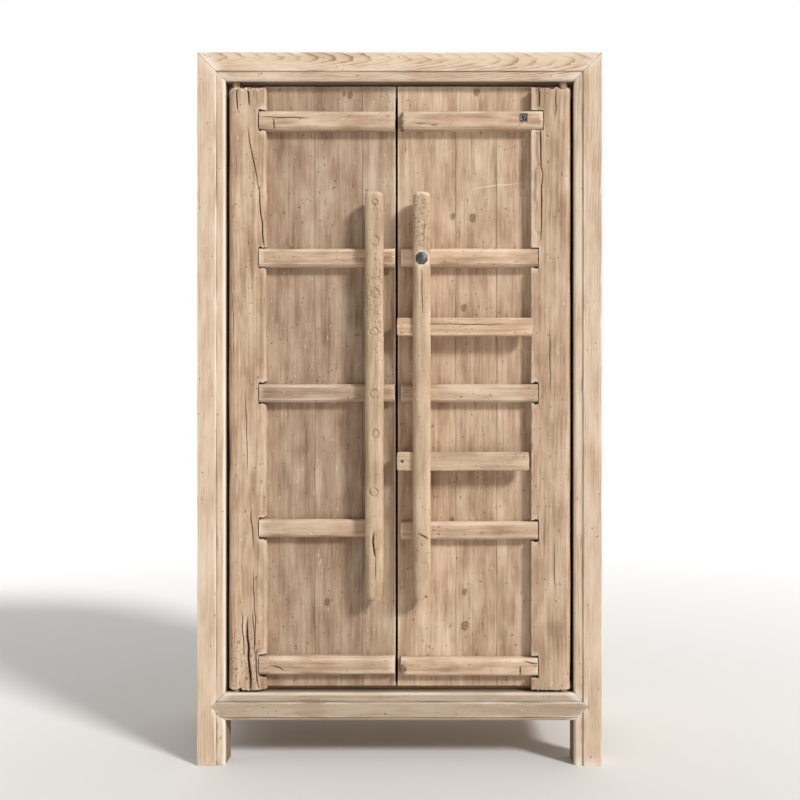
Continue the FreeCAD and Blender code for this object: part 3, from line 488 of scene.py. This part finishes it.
    def crumble(self, pitted):
        """Between two heights the surface is eaten into small holes."""
        fade_mm, hole_deep = 60, 0.0012
        self.crumbled = np.zeros(len(self.points))
        if pitted:
            low, high = pitted
            height = self.points[:, 2] * 1000
            self.crumbled = np.clip(np.minimum(height - low, high - height) / fade_mm, 0, 1)
            self.crumbled *= np.clip(0.7 + 0.6 * self.varied(50, 30, 30, 12), 0, 1)
            self.sunk += hole_deep * self.crumbled * np.clip(self.varied(9, 7, 7, 13) + 0.1, 0, 1)

    def fray(self, ends):
        """Moves the surface in by all that is lost. Sawn or broken ends have lost more wood, unevenly."""
        self.moved = self.sunk[:, None] * -self.normals
        if ends:
            out = self.normals[:, self.along]
            loss = ends / 1000 * (0.5 + 0.5 * self.varied(1000, 9, 20, 5))
            self.moved[:, self.along] -= np.abs(out) ** 2 * np.sign(out) * loss

    def grow(self, ring_mm, pith, knots):
        """Lays the rings of a log whose centre lies beside the board, a little out of line, and its knots."""
        length, width, depth = self.board.T
        centre = np.array([self.chance.uniform(-0.5, 0.5) * np.ptp(width),
                           self.chance.choice([-1, 1]) * self.chance.uniform(0.03, 0.07)])
        lean = self.chance.uniform(-0.025, 0.025, 2)
        if pith:
            centre, lean = np.array(pith[:2]) / 1000, np.array(pith[2:])
        bow = 0.012 * self.varied(500, 9000, 9000, 6)
        self.ring = np.hypot(width - centre[0] - lean[0] * length + bow,
                             depth - centre[1] - lean[1] * length) * 1000 / ring_mm
        self.knot = np.zeros(len(self.points))
        for (x, z), size in knots:
            away = (self.points[:, [0, 2]] - np.array([x, z]) / 1000) / (size / 1000)
            away[:, 1 if self.grain == "Z" else 0] *= 0.75
            cells = np.stack([*away.T, 0 * away[:, 0]], axis=1) * 1.5
            off = np.hypot(*away.T) * (1 + 0.25 * noise(cells, self.seed + 7))
            self.ring += 2.6 * np.exp(-(off / 1.9) ** 2)
            self.knot = np.maximum(self.knot, np.exp(-off ** 4) * (0.75 + 0.25 * np.cos(off * 9)))

    def soil_and_shade(self, soiled):
        """Painted shade darkens inside corners and the hollows round knots; dirt lies in seams and in stains.
        """
        corner_shade_reach = 0.004
        # Painted shade along inside corners, fading over a few mm.
        self.grime_and_shade = np.clip(1 - gap_to_arris(self.points, *self.inside) / corner_shade_reach, 0, 1)
        self.grime_and_shade *= np.clip(0.55 + 0.5 * self.varied(90, 100, 100, 14), 0, 1)
        # Painted shade in knot hollows, dirt in seams.
        self.grime_and_shade = np.maximum(self.grime_and_shade, np.maximum(self.groove_shade, 0.7 * self.seam))
        for spot in soiled:
            away = off_spot(self.points, spot) * (1 + 0.5 * noise(self.points / 0.008, self.seed + 15))
            self.grime_and_shade = np.maximum(self.grime_and_shade, 0.9 * np.exp(-away ** 4))

    def rub_and_paint_light(self, edge, wear, rubbed_and_lit_edge, chafed):
        """Rubs corners and chafed spots pale, and the edge of an opening pale, partly as painted highlight,
        with painted shade in the recess behind it.

        Such an edge is given as its axis, its place, how far it is rubbed and where the painted shade begins.
        """
        self.wear_and_highlight = np.clip(1 - self.gap / (2.2 * edge / 1000), 0, 1)
        self.wear_and_highlight *= np.clip(0.6 + 0.8 * self.varied(60, 100, 100, 8), 0, 1)
        self.wear_and_highlight *= wear
        if rubbed_and_lit_edge:
            axis, place, reach, shade_from = rubbed_and_lit_edge
            band = np.clip(1 - np.abs(self.points[:, "XYZ".index(axis)] * 1000 - place) / reach, 0, 1)
            shown = np.clip(1.6 - self.behind_mm / 10, 0, 1)
            patchy = np.clip(0.9 + 0.5 * self.varied(80, 100, 100, 9), 0, 1)
            # Pale rubbed wood along the opening's edge near the front, partly painted highlight.
            self.wear_and_highlight = np.maximum(self.wear_and_highlight, shown * band * patchy)
            inner = band > 0.9
            self.wear_and_highlight *= np.where(inner, np.clip(1 + (shade_from - self.behind_mm) / 10, 0, 1), 1)
            # Painted shade on the inner faces of the opening, darker further back in the recess.
            dirt_and_shade = 0.85 * np.clip((self.behind_mm - shade_from) / 8, 0, 1)
            self.grime_and_shade = np.maximum(self.grime_and_shade, np.where(inner, dirt_and_shade, 0))
        for spot in chafed:
            away = off_spot(self.points, spot) * (1 + 0.3 * noise(self.points / 0.01, self.seed + 17))
            self.wear_and_highlight = np.maximum(self.wear_and_highlight, np.exp(-away ** 4) * self.front)
        self.wear_and_highlight = np.maximum(self.wear_and_highlight, self.scratched)

    def stand(self, finish, figure, tone):
        """Makes the piece that stands for the solid, with the marks that its finish reads."""
        # Each board takes its grain from another place in the pattern.
        offset = self.chance.uniform(-5, 5, (self.boards, 3))[self.which]
        mesh = bpy.data.meshes.new(self.node + "_timber")
        mesh.vertices.add(len(self.points))
        mesh.vertices.foreach_set("co", (self.points + self.moved).ravel())
        mesh.loops.add(self.faces.size)
        mesh.loops.foreach_set("vertex_index", self.faces.ravel().astype(np.int32))
        mesh.polygons.add(len(self.faces))
        mesh.polygons.foreach_set("loop_start", np.arange(0, self.faces.size, 3, dtype=np.int32))
        mesh.update(calc_edges=True)
        mesh.shade_smooth()
        mesh.set_sharp_from_angle(angle=radians(55))
        place = (self.board + offset).ravel()
        mesh.attributes.new("grain", "FLOAT_VECTOR", "POINT").data.foreach_set("vector", place)
        spread = 1 if self.boards == 1 else 3
        shade = tone + self.chance.uniform(-0.12, 0.12, self.boards)[self.which] * spread
        marks = {"ring": self.ring, "figure": np.full(len(self.points), figure), "wear_and_highlight": self.wear_and_highlight,
                 "split": self.split_shade, "knot": self.knot, "grime_and_shade": self.grime_and_shade, "pitted": self.crumbled,
                 "tone": shade}
        for name, values in marks.items():
            mesh.attributes.new(name, "FLOAT", "POINT").data.foreach_set("value", values.astype(np.float32))
        mesh.materials.append(finish)
        piece = bpy.data.objects.new(self.node + "_timber", mesh)
        bpy.context.scene.collection.objects.link(piece)
        bodies = frame["record"]["behaviour"]["bodies"]
        body = next(name for name, nodes in bodies.items() if self.node in nodes)
        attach(piece, body)
        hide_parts(self.node)


def aged(node, finish, slot, grain="Z", boards=1, spacing=7.0, fine=4.5, edge=1.6, dents=0.4, waver=0.0,
         ends=0.0, ring_mm=9.0, figure=0.35, pith=None, tone=0.0, wear=1.0, rubbed_and_lit_edge=None, pitted=None,
         splits=(), knots=(), burls=(), soiled=(), chafed=()):
    """A timber as it is now, in the place of its solid: worn, split, knotted, dirty and rubbed, with painted
    shade in corners, hollows, recesses and splits, and painted highlight along openings.

    In mm, spacing and fine are the mesh on faces and at corners, edge is the radius of worn corners, dents
    the hollows of the faces, waver the drift of long edges and ends the wood lost at both ends. Figure is
    how strongly late wood shows, tone how much lighter than its finish the timber is, and wear how pale
    its corners are.
    """
    timber = Timber(node, grain, boards)
    timber.cut(spacing, fine, edge, splits, [*knots, *burls, *soiled, *chafed])
    timber.wear(edge, dents, waver)
    timber.split(splits)
    timber.burl(burls)
    timber.crumble(pitted)
    timber.fray(ends)
    timber.grow(ring_mm, pith, knots)
    timber.soil_and_shade(soiled)
    timber.rub_and_paint_light(edge, wear, rubbed_and_lit_edge, chafed)
    timber.stand(finish, figure, tone)


# Sanded pine, bleached: a pale, dry, even surface whose late wood still shows as soft brown lines.
sanded_pine = pine("sanded_bleached_pine", wear_and_highlight="#f6ebdc", pale="#ead9c4", honey="#d9c1a7", brown="#a27e5d",
                   stains=0.75, pits=0.022, roughness=0.78)
opening_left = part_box("front_left_post")[1].x * 1000
opening_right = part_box("front_right_post")[0].x * 1000
# Each post's opening edge is rubbed pale, partly as painted highlight, with painted shade in the recess
# behind it.
for side, edge_x, tone in (("left", opening_left, 0.1), ("right", opening_right, -0.15)):
    aged(f"front_{side}_post", sanded_pine, "frame_wood", spacing=10.0, edge=1.8, ring_mm=6.0, figure=0.55,
         tone=tone, rubbed_and_lit_edge=("X", edge_x, 8, 12))
for place in ("rear_left", "rear_right"):
    aged(place + "_post", sanded_pine, "frame_wood", spacing=14.0, fine=7.0)


# Top, bottom and middle rails
# Pine rails of the same stock. The four top rails mitre with the posts, the front bottom rail ends in
# points let into the posts, and the other rails are tenoned.
# The opening's top and bottom edges are rubbed pale, partly as painted highlight, with painted shade behind
# them; on the bottom rail it covers the top behind the doors.
opening_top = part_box("front_top_rail")[0].z * 1000
opening_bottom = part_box("front_bottom_rail")[1].z * 1000
top_rail_pith = (24, 22, 0.004, 0.055)  # beside the board in mm, then its lean, so that rings show as arches
aged("front_top_rail", sanded_pine, "frame_wood", grain="X", spacing=10.0, edge=1.8, ring_mm=2.8, figure=1.2,
     pith=top_rail_pith, tone=0.15, rubbed_and_lit_edge=("Z", opening_top, 8, 10))
aged("front_bottom_rail", sanded_pine, "frame_wood", grain="X", spacing=10.0, edge=1.4, tone=-1.1,
     rubbed_and_lit_edge=("Z", opening_bottom, 8, 22))
for level in ("top", "bottom", "middle"):
    aged(f"rear_{level}_rail", sanded_pine, "frame_wood", grain="X", spacing=14.0, fine=7.0)
    for side in ("left", "right"):
        aged(f"{side}_{level}_rail", sanded_pine, "frame_wood", grain="Y", spacing=9.0)


# Side and back panels, top, floor and door stop
# Thin planed boards of pine that float in grooves of the frame, with a notched floor board and a strip
# under the front top rail that the doors close against.
# Planed pine, unfinished: warmer and a little darker than the frame, with long even streaks.
planed_pine = pine("planed_pine_board", wear_and_highlight="#e6d4bd", pale="#dcc6ab", honey="#c6aa8b", brown="#9b7a5a",
                   stains=0.9, pits=0.04, roughness=0.8)
for wall, boards in (("left", 3), ("right", 3), ("rear", 6)):
    for level in ("upper", "lower"):
        aged(f"{wall}_{level}_panel", planed_pine, "panel_wood", boards=boards, spacing=20.0, edge=1.0)
for node in ("top_panel", "floor_board"):
    aged(node, planed_pine, "panel_wood", grain="X", boards=4, spacing=20.0, edge=1.0)
aged("door_stop", planed_pine, "panel_wood", grain="X", spacing=9.0, edge=1.0)


# Shelf and hanging rail
# A pine hat shelf that lies on two bearers fixed to the sides, and under it a round rail for hangers,
# dropped into two open sockets.
aged("hat_shelf", planed_pine, "panel_wood", grain="X", boards=3, spacing=20.0, edge=1.2)
aged("hanging_rail", planed_pine, "panel_wood", grain="X", edge=1.2, ring_mm=5.0)
for side in ("left", "right"):
    aged(f"{side}_shelf_bearer", planed_pine, "panel_wood", grain="Y", spacing=9.0, edge=1.2)
    aged(f"{side}_rail_socket", planed_pine, "panel_wood", edge=1.2)


# Hinge stiles
# Thick old timbers that carry each door on a pin cut at both ends. Years of turning and weather have
# rounded them, opened long splits and frayed the ends.
# Weathered pine: browner and greyer, blotched, pitted and dry.
weathered_pine = pine("weathered_door_pine", wear_and_highlight="#e8d6c0", pale="#dcc5ab", honey="#bfa287", brown="#8b6c52",
                      stains=1.45, pits=0.055, roughness=0.84)
stile_wear = {"spacing": 8.0, "edge": 3.0, "dents": 1.4, "waver": 2.5, "figure": 0.5}
left_stile_splits = (
    ((-412, 440), (-408, 300), 2.5, 5.0), ((-404, 330), (-399, 210), 3.0, 6.0),
    ((-428, 1800), (-397, 1610), 2.5, 5.0), ((-399, 1640), (-381, 1440), 3.0, 8.0),
    ((-457, 1915), (-455, 1833), 3.0, 7.0), ((-428, 1915), (-420, 1850), 4.0, 8.0),
    ((-446, 440), (-438, 300), 2.5, 5.0), ((-430, 420), (-414, 195), 6.0, 14.0),
    ((-420, 720), (-412, 600), 3.0, 5.0), ((-412, 560), (-404, 330), 2.5, 4.0),
    ((-470, 1350), (-466, 1120), 2.0, 3.0), ((-433, 1060), (-428, 800), 2.0, 3.5))
right_stile_splits = (
    ((390, 1915), (391, 1840), 2.5, 6.0), ((394, 1800), (401, 1660), 3.0, 8.0),
    ((401, 1680), (397, 1470), 2.5, 7.0), ((380, 1930), (383, 1450), 11.0, 3.5),
    ((440, 1905), (436, 1820), 2.5, 4.0), ((433, 640), (436, 480), 2.0, 3.0),
    ((420, 1240), (424, 1020), 2.0, 3.0))
aged("left_hinge_stile", weathered_pine, "door_wood", ends=16.0, tone=0.15, pitted=(160, 400),
     splits=left_stile_splits, **stile_wear)
aged("right_hinge_stile", weathered_pine, "door_wood", ends=14.0, splits=right_stile_splits, **stile_wear)


# Planks
# Three old boards fill each door, butted edge to edge behind the battens, planed long ago and now grey,
# streaked and dented, with a few knots. The right door has one pale scratch.
scratch = ((193, 1622), (340, 1645), 3.0, 0.4)
plank_knots = {
    "left_outer_plank": (),
    "left_middle_plank": (((-141, 1893), 9), ((-158, 1896), 6), ((-207, 455), 9)),
    "left_inner_plank": (),
    "right_outer_plank": (),
    "right_middle_plank": (((207, 1543), 9), ((218, 1900), 8), ((182, 1288), 8), ((185, 386), 10),
                           ((184, 482), 7)),
    "right_inner_plank": (((151, 1548), 8), ((148, 686), 8)),
}
# The doors' meeting edges are rubbed pale, with painted shade on their side faces further back in the gap.
meeting_edges = {"left_inner_plank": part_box("left_inner_plank")[1].x * 1000,
                 "right_inner_plank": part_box("right_inner_plank")[0].x * 1000}
for node, knots in plank_knots.items():
    scratched = node in ("right_middle_plank", "right_outer_plank")
    aged(node, weathered_pine, "door_wood", spacing=11.0, edge=0.5, dents=1.0, ring_mm=10.0, figure=0.22,
         tone=-0.6 if node.startswith("left") else 0.15, wear=0.1, knots=knots,
         splits=(scratch,) if scratched else (),
         rubbed_and_lit_edge=("X", meeting_edges[node], 7, 12) if node in meeting_edges else None)


# Battens
# Five bevelled battens across each door, let into the stile and nailed through the planks. Their
# corners are worn round and their ends are checked.
batten_splits = {
    "left_batten_1": (((-397, 1819), (-254, 1817), 2.0, 5.0), ((-355, 1814), (-349, 1776), 3.0, 7.0)),
    "left_batten_5": (((-358, 281), (-324, 267), 3.0, 5.0),),
    "right_batten_5": (((337, 279), (340, 246), 3.0, 7.0), ((345, 291), (390, 285), 3.0, 5.0)),
    "right_batten_1": (((50, 1800), (56, 1799), 4.0, 5.0), ((91, 1798), (96, 1797), 4.0, 4.0)),
}
batten_soil = {"right_batten_1": (((0, 1820), 13), ((0, 1805), 12), ((0, 1790), 13)),
               "right_batten_5": (((6, 268), 15),)}
batten_wear = {"grain": "X", "spacing": 6.0, "fine": 3.5, "edge": 3.0, "dents": 1.2, "ends": 1.5,
               "waver": 2.2}
batten_tones = {"left": (0.2, 0.1, -0.6, -0.1, -0.15), "right": (0.4, 0.8, 0.1, 0.2, 0.5)}
for side, tones in batten_tones.items():
    for number, tone in enumerate(tones, start=1):
        node = f"{side}_batten_{number}"
        aged(node, weathered_pine, "door_wood", tone=tone, splits=batten_splits.get(node, ()),
             soiled=batten_soil.get(node, ()), **batten_wear)


# Latch poles
# A thick upright pole of pine on each door, nailed from the inside, with two mortises for the bars and
# notches over the battens. Hands have worn its corners round.
# Handled pine: smoother than the doors and less blotched, with finer and closer pits.
handled_pine = pine("handled_pole_pine", wear_and_highlight="#e8d6bf", pale="#dbc4a9", honey="#bda286", brown="#8f7156",
                    stains=1.1, pits=0.07, roughness=0.72, pit_mm=4.2)
pole_wear = {"spacing": 6.0, "fine": 3.5, "edge": 3.0, "ends": 2.5, "waver": 1.2, "ring_mm": 6.0, "tone": 0.2}
aged("left_latch_pole", handled_pine, "latch_wood", dents=1.2, pitted=(1180, 1440), **pole_wear,
     splits=(((-73, 660), (-66, 585), 4.5, 9.0), ((-66, 590), (-66, 520), 2.0, 3.0)),
     burls=(((-68, 1570), 8), ((-70, 1462), 13), ((-68, 1318), 11), ((-70, 1212), 11), ((-70, 1040), 12),
            ((-66, 930), 10), ((-72, 770), 11)))
aged("right_latch_pole", handled_pine, "latch_wood", dents=1.4, pitted=(1430, 1640), **pole_wear,
     splits=(((54, 657), (80, 634), 4.0, 6.0), ((72, 480), (80, 474), 6.0, 7.0),
             ((62, 1390), (64, 1250), 2.0, 3.5)),
     chafed=(((62, 1414), 27),))


# Latch bars
# Two flat bars of the same wood slide through the poles and lock the doors. Their corners are worn round.
# The upper one has a long drying check and the lower one a peg hole.
bar_wear = {"grain": "X", "spacing": 6.0, "fine": 3.5, "edge": 3.0, "dents": 0.8, "ends": 2.0}
upper_low, upper_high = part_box("upper_latch_bar")
check = ((upper_low.x * 1000 + 20, 1236), (upper_high.x * 1000 - 60, 1233), 2.0, 3.5)
aged("upper_latch_bar", handled_pine, "latch_wood", tone=1.1, splits=(check,), **bar_wear)
aged("lower_latch_bar", handled_pine, "latch_wood", tone=0.1, **bar_wear)


# Nails, spike and plate
# Hand-forged iron. Rose-headed nails hold battens and poles from the inside, one large faceted spike
# head sits on the right pole, and one square plate nail is driven into the top right batten.
# Forged iron: dark oxide skin, a dull grey sheen where it is rubbed, brown rust in the hollows.
forged_iron = bpy.data.materials.new("forged_iron")
forged_iron.use_nodes = True
iron_tree = forged_iron.node_tree
iron_shader = iron_tree.nodes["Principled BSDF"]
scale_mm, rust_mm = 2.5, 7.0
iron_place = add(iron_tree, "ShaderNodeTexCoord").outputs["Object"]
hammered, rusty = (
    add(iron_tree, "ShaderNodeTexNoise", {"Vector": iron_place, "Scale": 1000 / size, "Detail": detail})
    for size, detail in ((scale_mm, 3.0), (rust_mm, 4.0)))
skin = add(iron_tree, "ShaderNodeValToRGB", {"Fac": hammered.outputs["Fac"]},
           stops=((0.3, linear("#3a3938")), (0.7, linear("#827f7b"))))
rust_share = add(iron_tree, "ShaderNodeMapRange", {"Value": rusty.outputs["Fac"], "From Min": 0.52,
                                                   "From Max": 0.70, "To Max": 0.7})
iron_colour = add(iron_tree, "ShaderNodeMix", {0: rust_share.outputs[0], 6: skin.outputs[0],
                                               7: linear("#5a4434")}, data_type="RGBA")
iron_tree.links.new(iron_colour.outputs[2], iron_shader.inputs["Base Color"])
iron_rough = add(iron_tree, "ShaderNodeMapRange", {"Value": rusty.outputs["Fac"], "To Min": 0.3,
                                                   "To Max": 0.6})
iron_tree.links.new(iron_rough.outputs[0], iron_shader.inputs["Roughness"])
iron_bump = add(iron_tree, "ShaderNodeBump", {"Height": hammered.outputs["Fac"], "Strength": 0.5,
                                              "Distance": 0.0008})
iron_tree.links.new(iron_bump.outputs[0], iron_shader.inputs["Normal"])
iron_shader.inputs["Metallic"].default_value = 0.85


def forged(name, node, deep, sides, rings):
    """An iron head on the right door, built up in rings from its edge on the wood to its face.

    A ring is given as its share of the depth and of the half width, its turn in degrees and whether it is
    square.
    """
    low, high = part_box(node)
    centre = (low + high) / 2
    back, bevel = low.y + deep, 0.0004
    shape = bmesh.new()
    rows = []
    for depth_share, width_share, turn, square in rings:
        row = []
        for angle in (radians(turn + 360 / sides * k) for k in range(sides)):
            reach = width_share * (high.x - low.x) / 2
            if square:
                reach /= max(abs(cos(angle)), abs(sin(angle)))
            place = (centre.x + reach * cos(angle), back + depth_share * (low.y - back),
                     centre.z + reach * sin(angle))
            row.append(shape.verts.new(place))
        rows.append(row)
    for lower, upper in zip(rows, rows[1:]):
        for k in range(sides):
            shape.faces.new((lower[k - 1], lower[k], upper[k], upper[k - 1]))
    shape.faces.new(rows[-1])
    shape.faces.new(rows[0][::-1])
    bmesh.ops.recalc_face_normals(shape, faces=shape.faces)
    bmesh.ops.bevel(shape, geom=shape.edges[:], offset=bevel, segments=2, affect="EDGES", clamp_overlap=True)
    mesh = bpy.data.meshes.new(name)
    shape.to_mesh(mesh)
    shape.free()
    mesh.materials.append(forged_iron)
    piece = bpy.data.objects.new(name, mesh)
    bpy.context.scene.collection.objects.link(piece)
    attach(piece, "right_door")
    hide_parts(node)


forged("spike_head", "pole_spike", deep=0.006, sides=8, rings=(
    (0.0, 1.0, 22.5, False), (0.25, 1.0, 22.5, False), (0.55, 0.74, 45.0, False), (0.85, 0.42, 22.5, False),
    (1.0, 0.18, 45.0, False)))
forged("plate_nail_head", "batten_plate_nail", deep=0.004, sides=16, rings=(
    (0.0, 1.0, 0.0, True), (0.6, 1.0, 0.0, True), (0.8, 0.86, 0.0, True), (0.45, 0.66, 0.0, False),
    (0.85, 0.52, 0.0, False), (1.0, 0.2, 0.0, False)))

rose_heads = bpy.data.node_groups.new("rose_headed_nails", "GeometryNodeTree")
rose_heads.interface.new_socket("Places", in_out="INPUT", socket_type="NodeSocketGeometry")
head_width = rose_heads.interface.new_socket("Head Width", in_out="INPUT", socket_type="NodeSocketFloat")
head_height = rose_heads.interface.new_socket("Head Height", in_out="INPUT", socket_type="NodeSocketFloat")
head_seed = rose_heads.interface.new_socket("Seed", in_out="INPUT", socket_type="NodeSocketInt")
rose_heads.interface.new_socket("Nails", in_out="OUTPUT", socket_type="NodeSocketGeometry")
given = add(rose_heads, "NodeGroupInput")
foot, crown = (
    add(rose_heads, "ShaderNodeMath", {0: given.outputs["Head Width"], 1: share}, operation="MULTIPLY")
    for share in (0.5, 0.16))
head = add(rose_heads, "GeometryNodeMeshCone", {"Vertices": 7, "Radius Top": crown.outputs[0],
                                                "Radius Bottom": foot.outputs[0],
                                                "Depth": given.outputs["Head Height"]})
spin, stretch = (
    add(rose_heads, "FunctionNodeRandomValue", {2: least, 3: most, "Seed": given.outputs["Seed"]},
        data_type="FLOAT")
    for least, most in ((0.0, 6.28), (0.8, 1.0)))
lean = add(rose_heads, "ShaderNodeCombineXYZ", {"X": radians(-90), "Y": spin.outputs[1]})
placed = add(rose_heads, "GeometryNodeInstanceOnPoints", {"Points": given.outputs["Places"],
                                                          "Instance": head.outputs["Mesh"],
                                                          "Rotation": lean.outputs[0],
                                                          "Scale": stretch.outputs[1]})
real = add(rose_heads, "GeometryNodeRealizeInstances", {"Geometry": placed.outputs[0]})
painted = add(rose_heads, "GeometryNodeSetMaterial", {"Geometry": real.outputs[0], "Material": forged_iron})
add(rose_heads, "NodeGroupOutput", {0: painted.outputs[0]})


def loose_parts(points, faces):
    """The points of each separate body in a solid that is made of several."""
    label, known = np.arange(len(points)), None
    while known is None or (known != label).any():
        known = label.copy()
        np.minimum.at(label, faces.ravel(), np.repeat(label[faces].min(axis=1), 3))
    return [points[label == number] for number in np.unique(label)]


nail_seed, head_deep = 7, 0.003
for body in ("left_door", "right_door"):
    side = body.split("_")[0]
    groups = (f"{side}_batten_nails", f"{side}_pole_nails")
    heads, sizes = [], []
    for nail in (part for group in groups for part in loose_parts(*solid(group))):
        cap = nail[nail[:, 1] > nail[:, 1].max() - head_deep]
        heads.append((cap.min(axis=0) + cap.max(axis=0)) / 2)
        sizes.append(np.ptp(cap, axis=0))
    width, height, _ = np.mean(sizes, axis=0)
    spots = bpy.data.meshes.new(side + "_nail_places")
    spots.from_pydata([tuple(spot) for spot in heads], [], [])
    holder = bpy.data.objects.new(side + "_nail_places", spots)
    bpy.context.scene.collection.objects.link(holder)
    maker = holder.modifiers.new("nails", "NODES")
    maker.node_group = rose_heads
    maker[head_width.identifier] = float(width)
    maker[head_height.identifier] = float(height)
    maker[head_seed.identifier] = nail_seed
    mesh = bpy.data.meshes.new_from_object(holder.evaluated_get(bpy.context.evaluated_depsgraph_get()))
    holder.modifiers.remove(maker)
    bpy.data.objects.remove(holder)
    nails = bpy.data.objects.new(side + "_inside_nails", mesh)
    bpy.context.scene.collection.objects.link(nails)
    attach(nails, body)
    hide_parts(f"{side}_batten_nails", f"{side}_pole_nails")


# Floor, light and camera
# A plain pale floor, a white room, soft light from the upper right, and a camera level with the lower
# middle of the doors, at the photograph's place.
# Floor paint: matt and pale, fading to white away from the wardrobe so that no horizon shows.
paint = bpy.data.materials.new("pale_floor_paint")
paint.use_nodes = True
paint_tree = paint.node_tree
paint_shader = paint_tree.nodes["Principled BSDF"]
floor_place = add(paint_tree, "ShaderNodeTexCoord").outputs["Object"]
floor_away = add(paint_tree, "ShaderNodeVectorMath", {0: floor_place}, operation="LENGTH")
floor_far = add(paint_tree, "ShaderNodeMapRange", {"Value": floor_away.outputs["Value"], "From Min": 1.0,
                                                   "From Max": 5.0})
floor_mix = add(paint_tree, "ShaderNodeMix", {0: floor_far.outputs[0], 6: linear("#dfddda"),
                                              7: linear("#fbfaf9")}, data_type="RGBA")
paint_tree.links.new(floor_mix.outputs[2], paint_shader.inputs["Base Color"])
paint_shader.inputs["Roughness"].default_value = 0.9
floor_half = 30.0
floor_mesh = bpy.data.meshes.new("floor")
floor_mesh.from_pydata([(x * floor_half, y * floor_half, 0) for x, y in ((-1, -1), (1, -1), (1, 1), (-1, 1))],
                       [], [(0, 1, 2, 3)])
floor_mesh.materials.append(paint)
floor = bpy.data.objects.new("floor", floor_mesh)
bpy.context.scene.collection.objects.link(floor)

scene = bpy.context.scene
scene.view_settings.view_transform = "Standard"
scene.world = bpy.data.worlds.new("white_room")
scene.world.use_nodes = True
room = scene.world.node_tree
way = add(room, "ShaderNodeSeparateXYZ", {0: add(room, "ShaderNodeTexCoord").outputs["Generated"]})
overhead = add(room, "ShaderNodeMapRange", {"Value": way.outputs["Z"], "From Min": 0.0, "From Max": 1.0,
                                            "To Min": 0.12, "To Max": 0.6})
behind = add(room, "ShaderNodeMapRange", {"Value": way.outputs["Y"], "From Min": -0.1, "From Max": 0.4,
                                          "To Min": 0.0, "To Max": 0.9})
glow = add(room, "ShaderNodeMath", {0: overhead.outputs[0], 1: behind.outputs[0]}, operation="MAXIMUM")
straight = add(room, "ShaderNodeLightPath").outputs["Is Camera Ray"]
seen = add(room, "ShaderNodeMix", {0: straight, 2: glow.outputs[0], 3: 1.0})
room.links.new(seen.outputs[0], room.nodes["Background"].inputs["Strength"])
room.nodes["Background"].inputs["Color"].default_value = (1.0, 1.0, 1.0, 1.0)

window_data = bpy.data.lights.new("window", "SUN")
window_data.energy = 2.95
window_data.angle = radians(11)
window = bpy.data.objects.new("window", window_data)
light_way = Vector((-0.630, 0.563, -0.535))
window.rotation_euler = light_way.to_track_quat("-Z", "Y").to_euler()
scene.collection.objects.link(window)

camera_data = bpy.data.cameras.new("camera")
camera_data.lens = 39.2
camera_data.sensor_width = 36.0
camera_data.shift_x = -0.0325
camera_data.shift_y = 0.05625
camera = bpy.data.objects.new("camera", camera_data)
camera.location = (0.074, -2.6985, 0.899)
camera.rotation_euler = (radians(90), 0, 0)
scene.collection.objects.link(camera)
scene.camera = camera
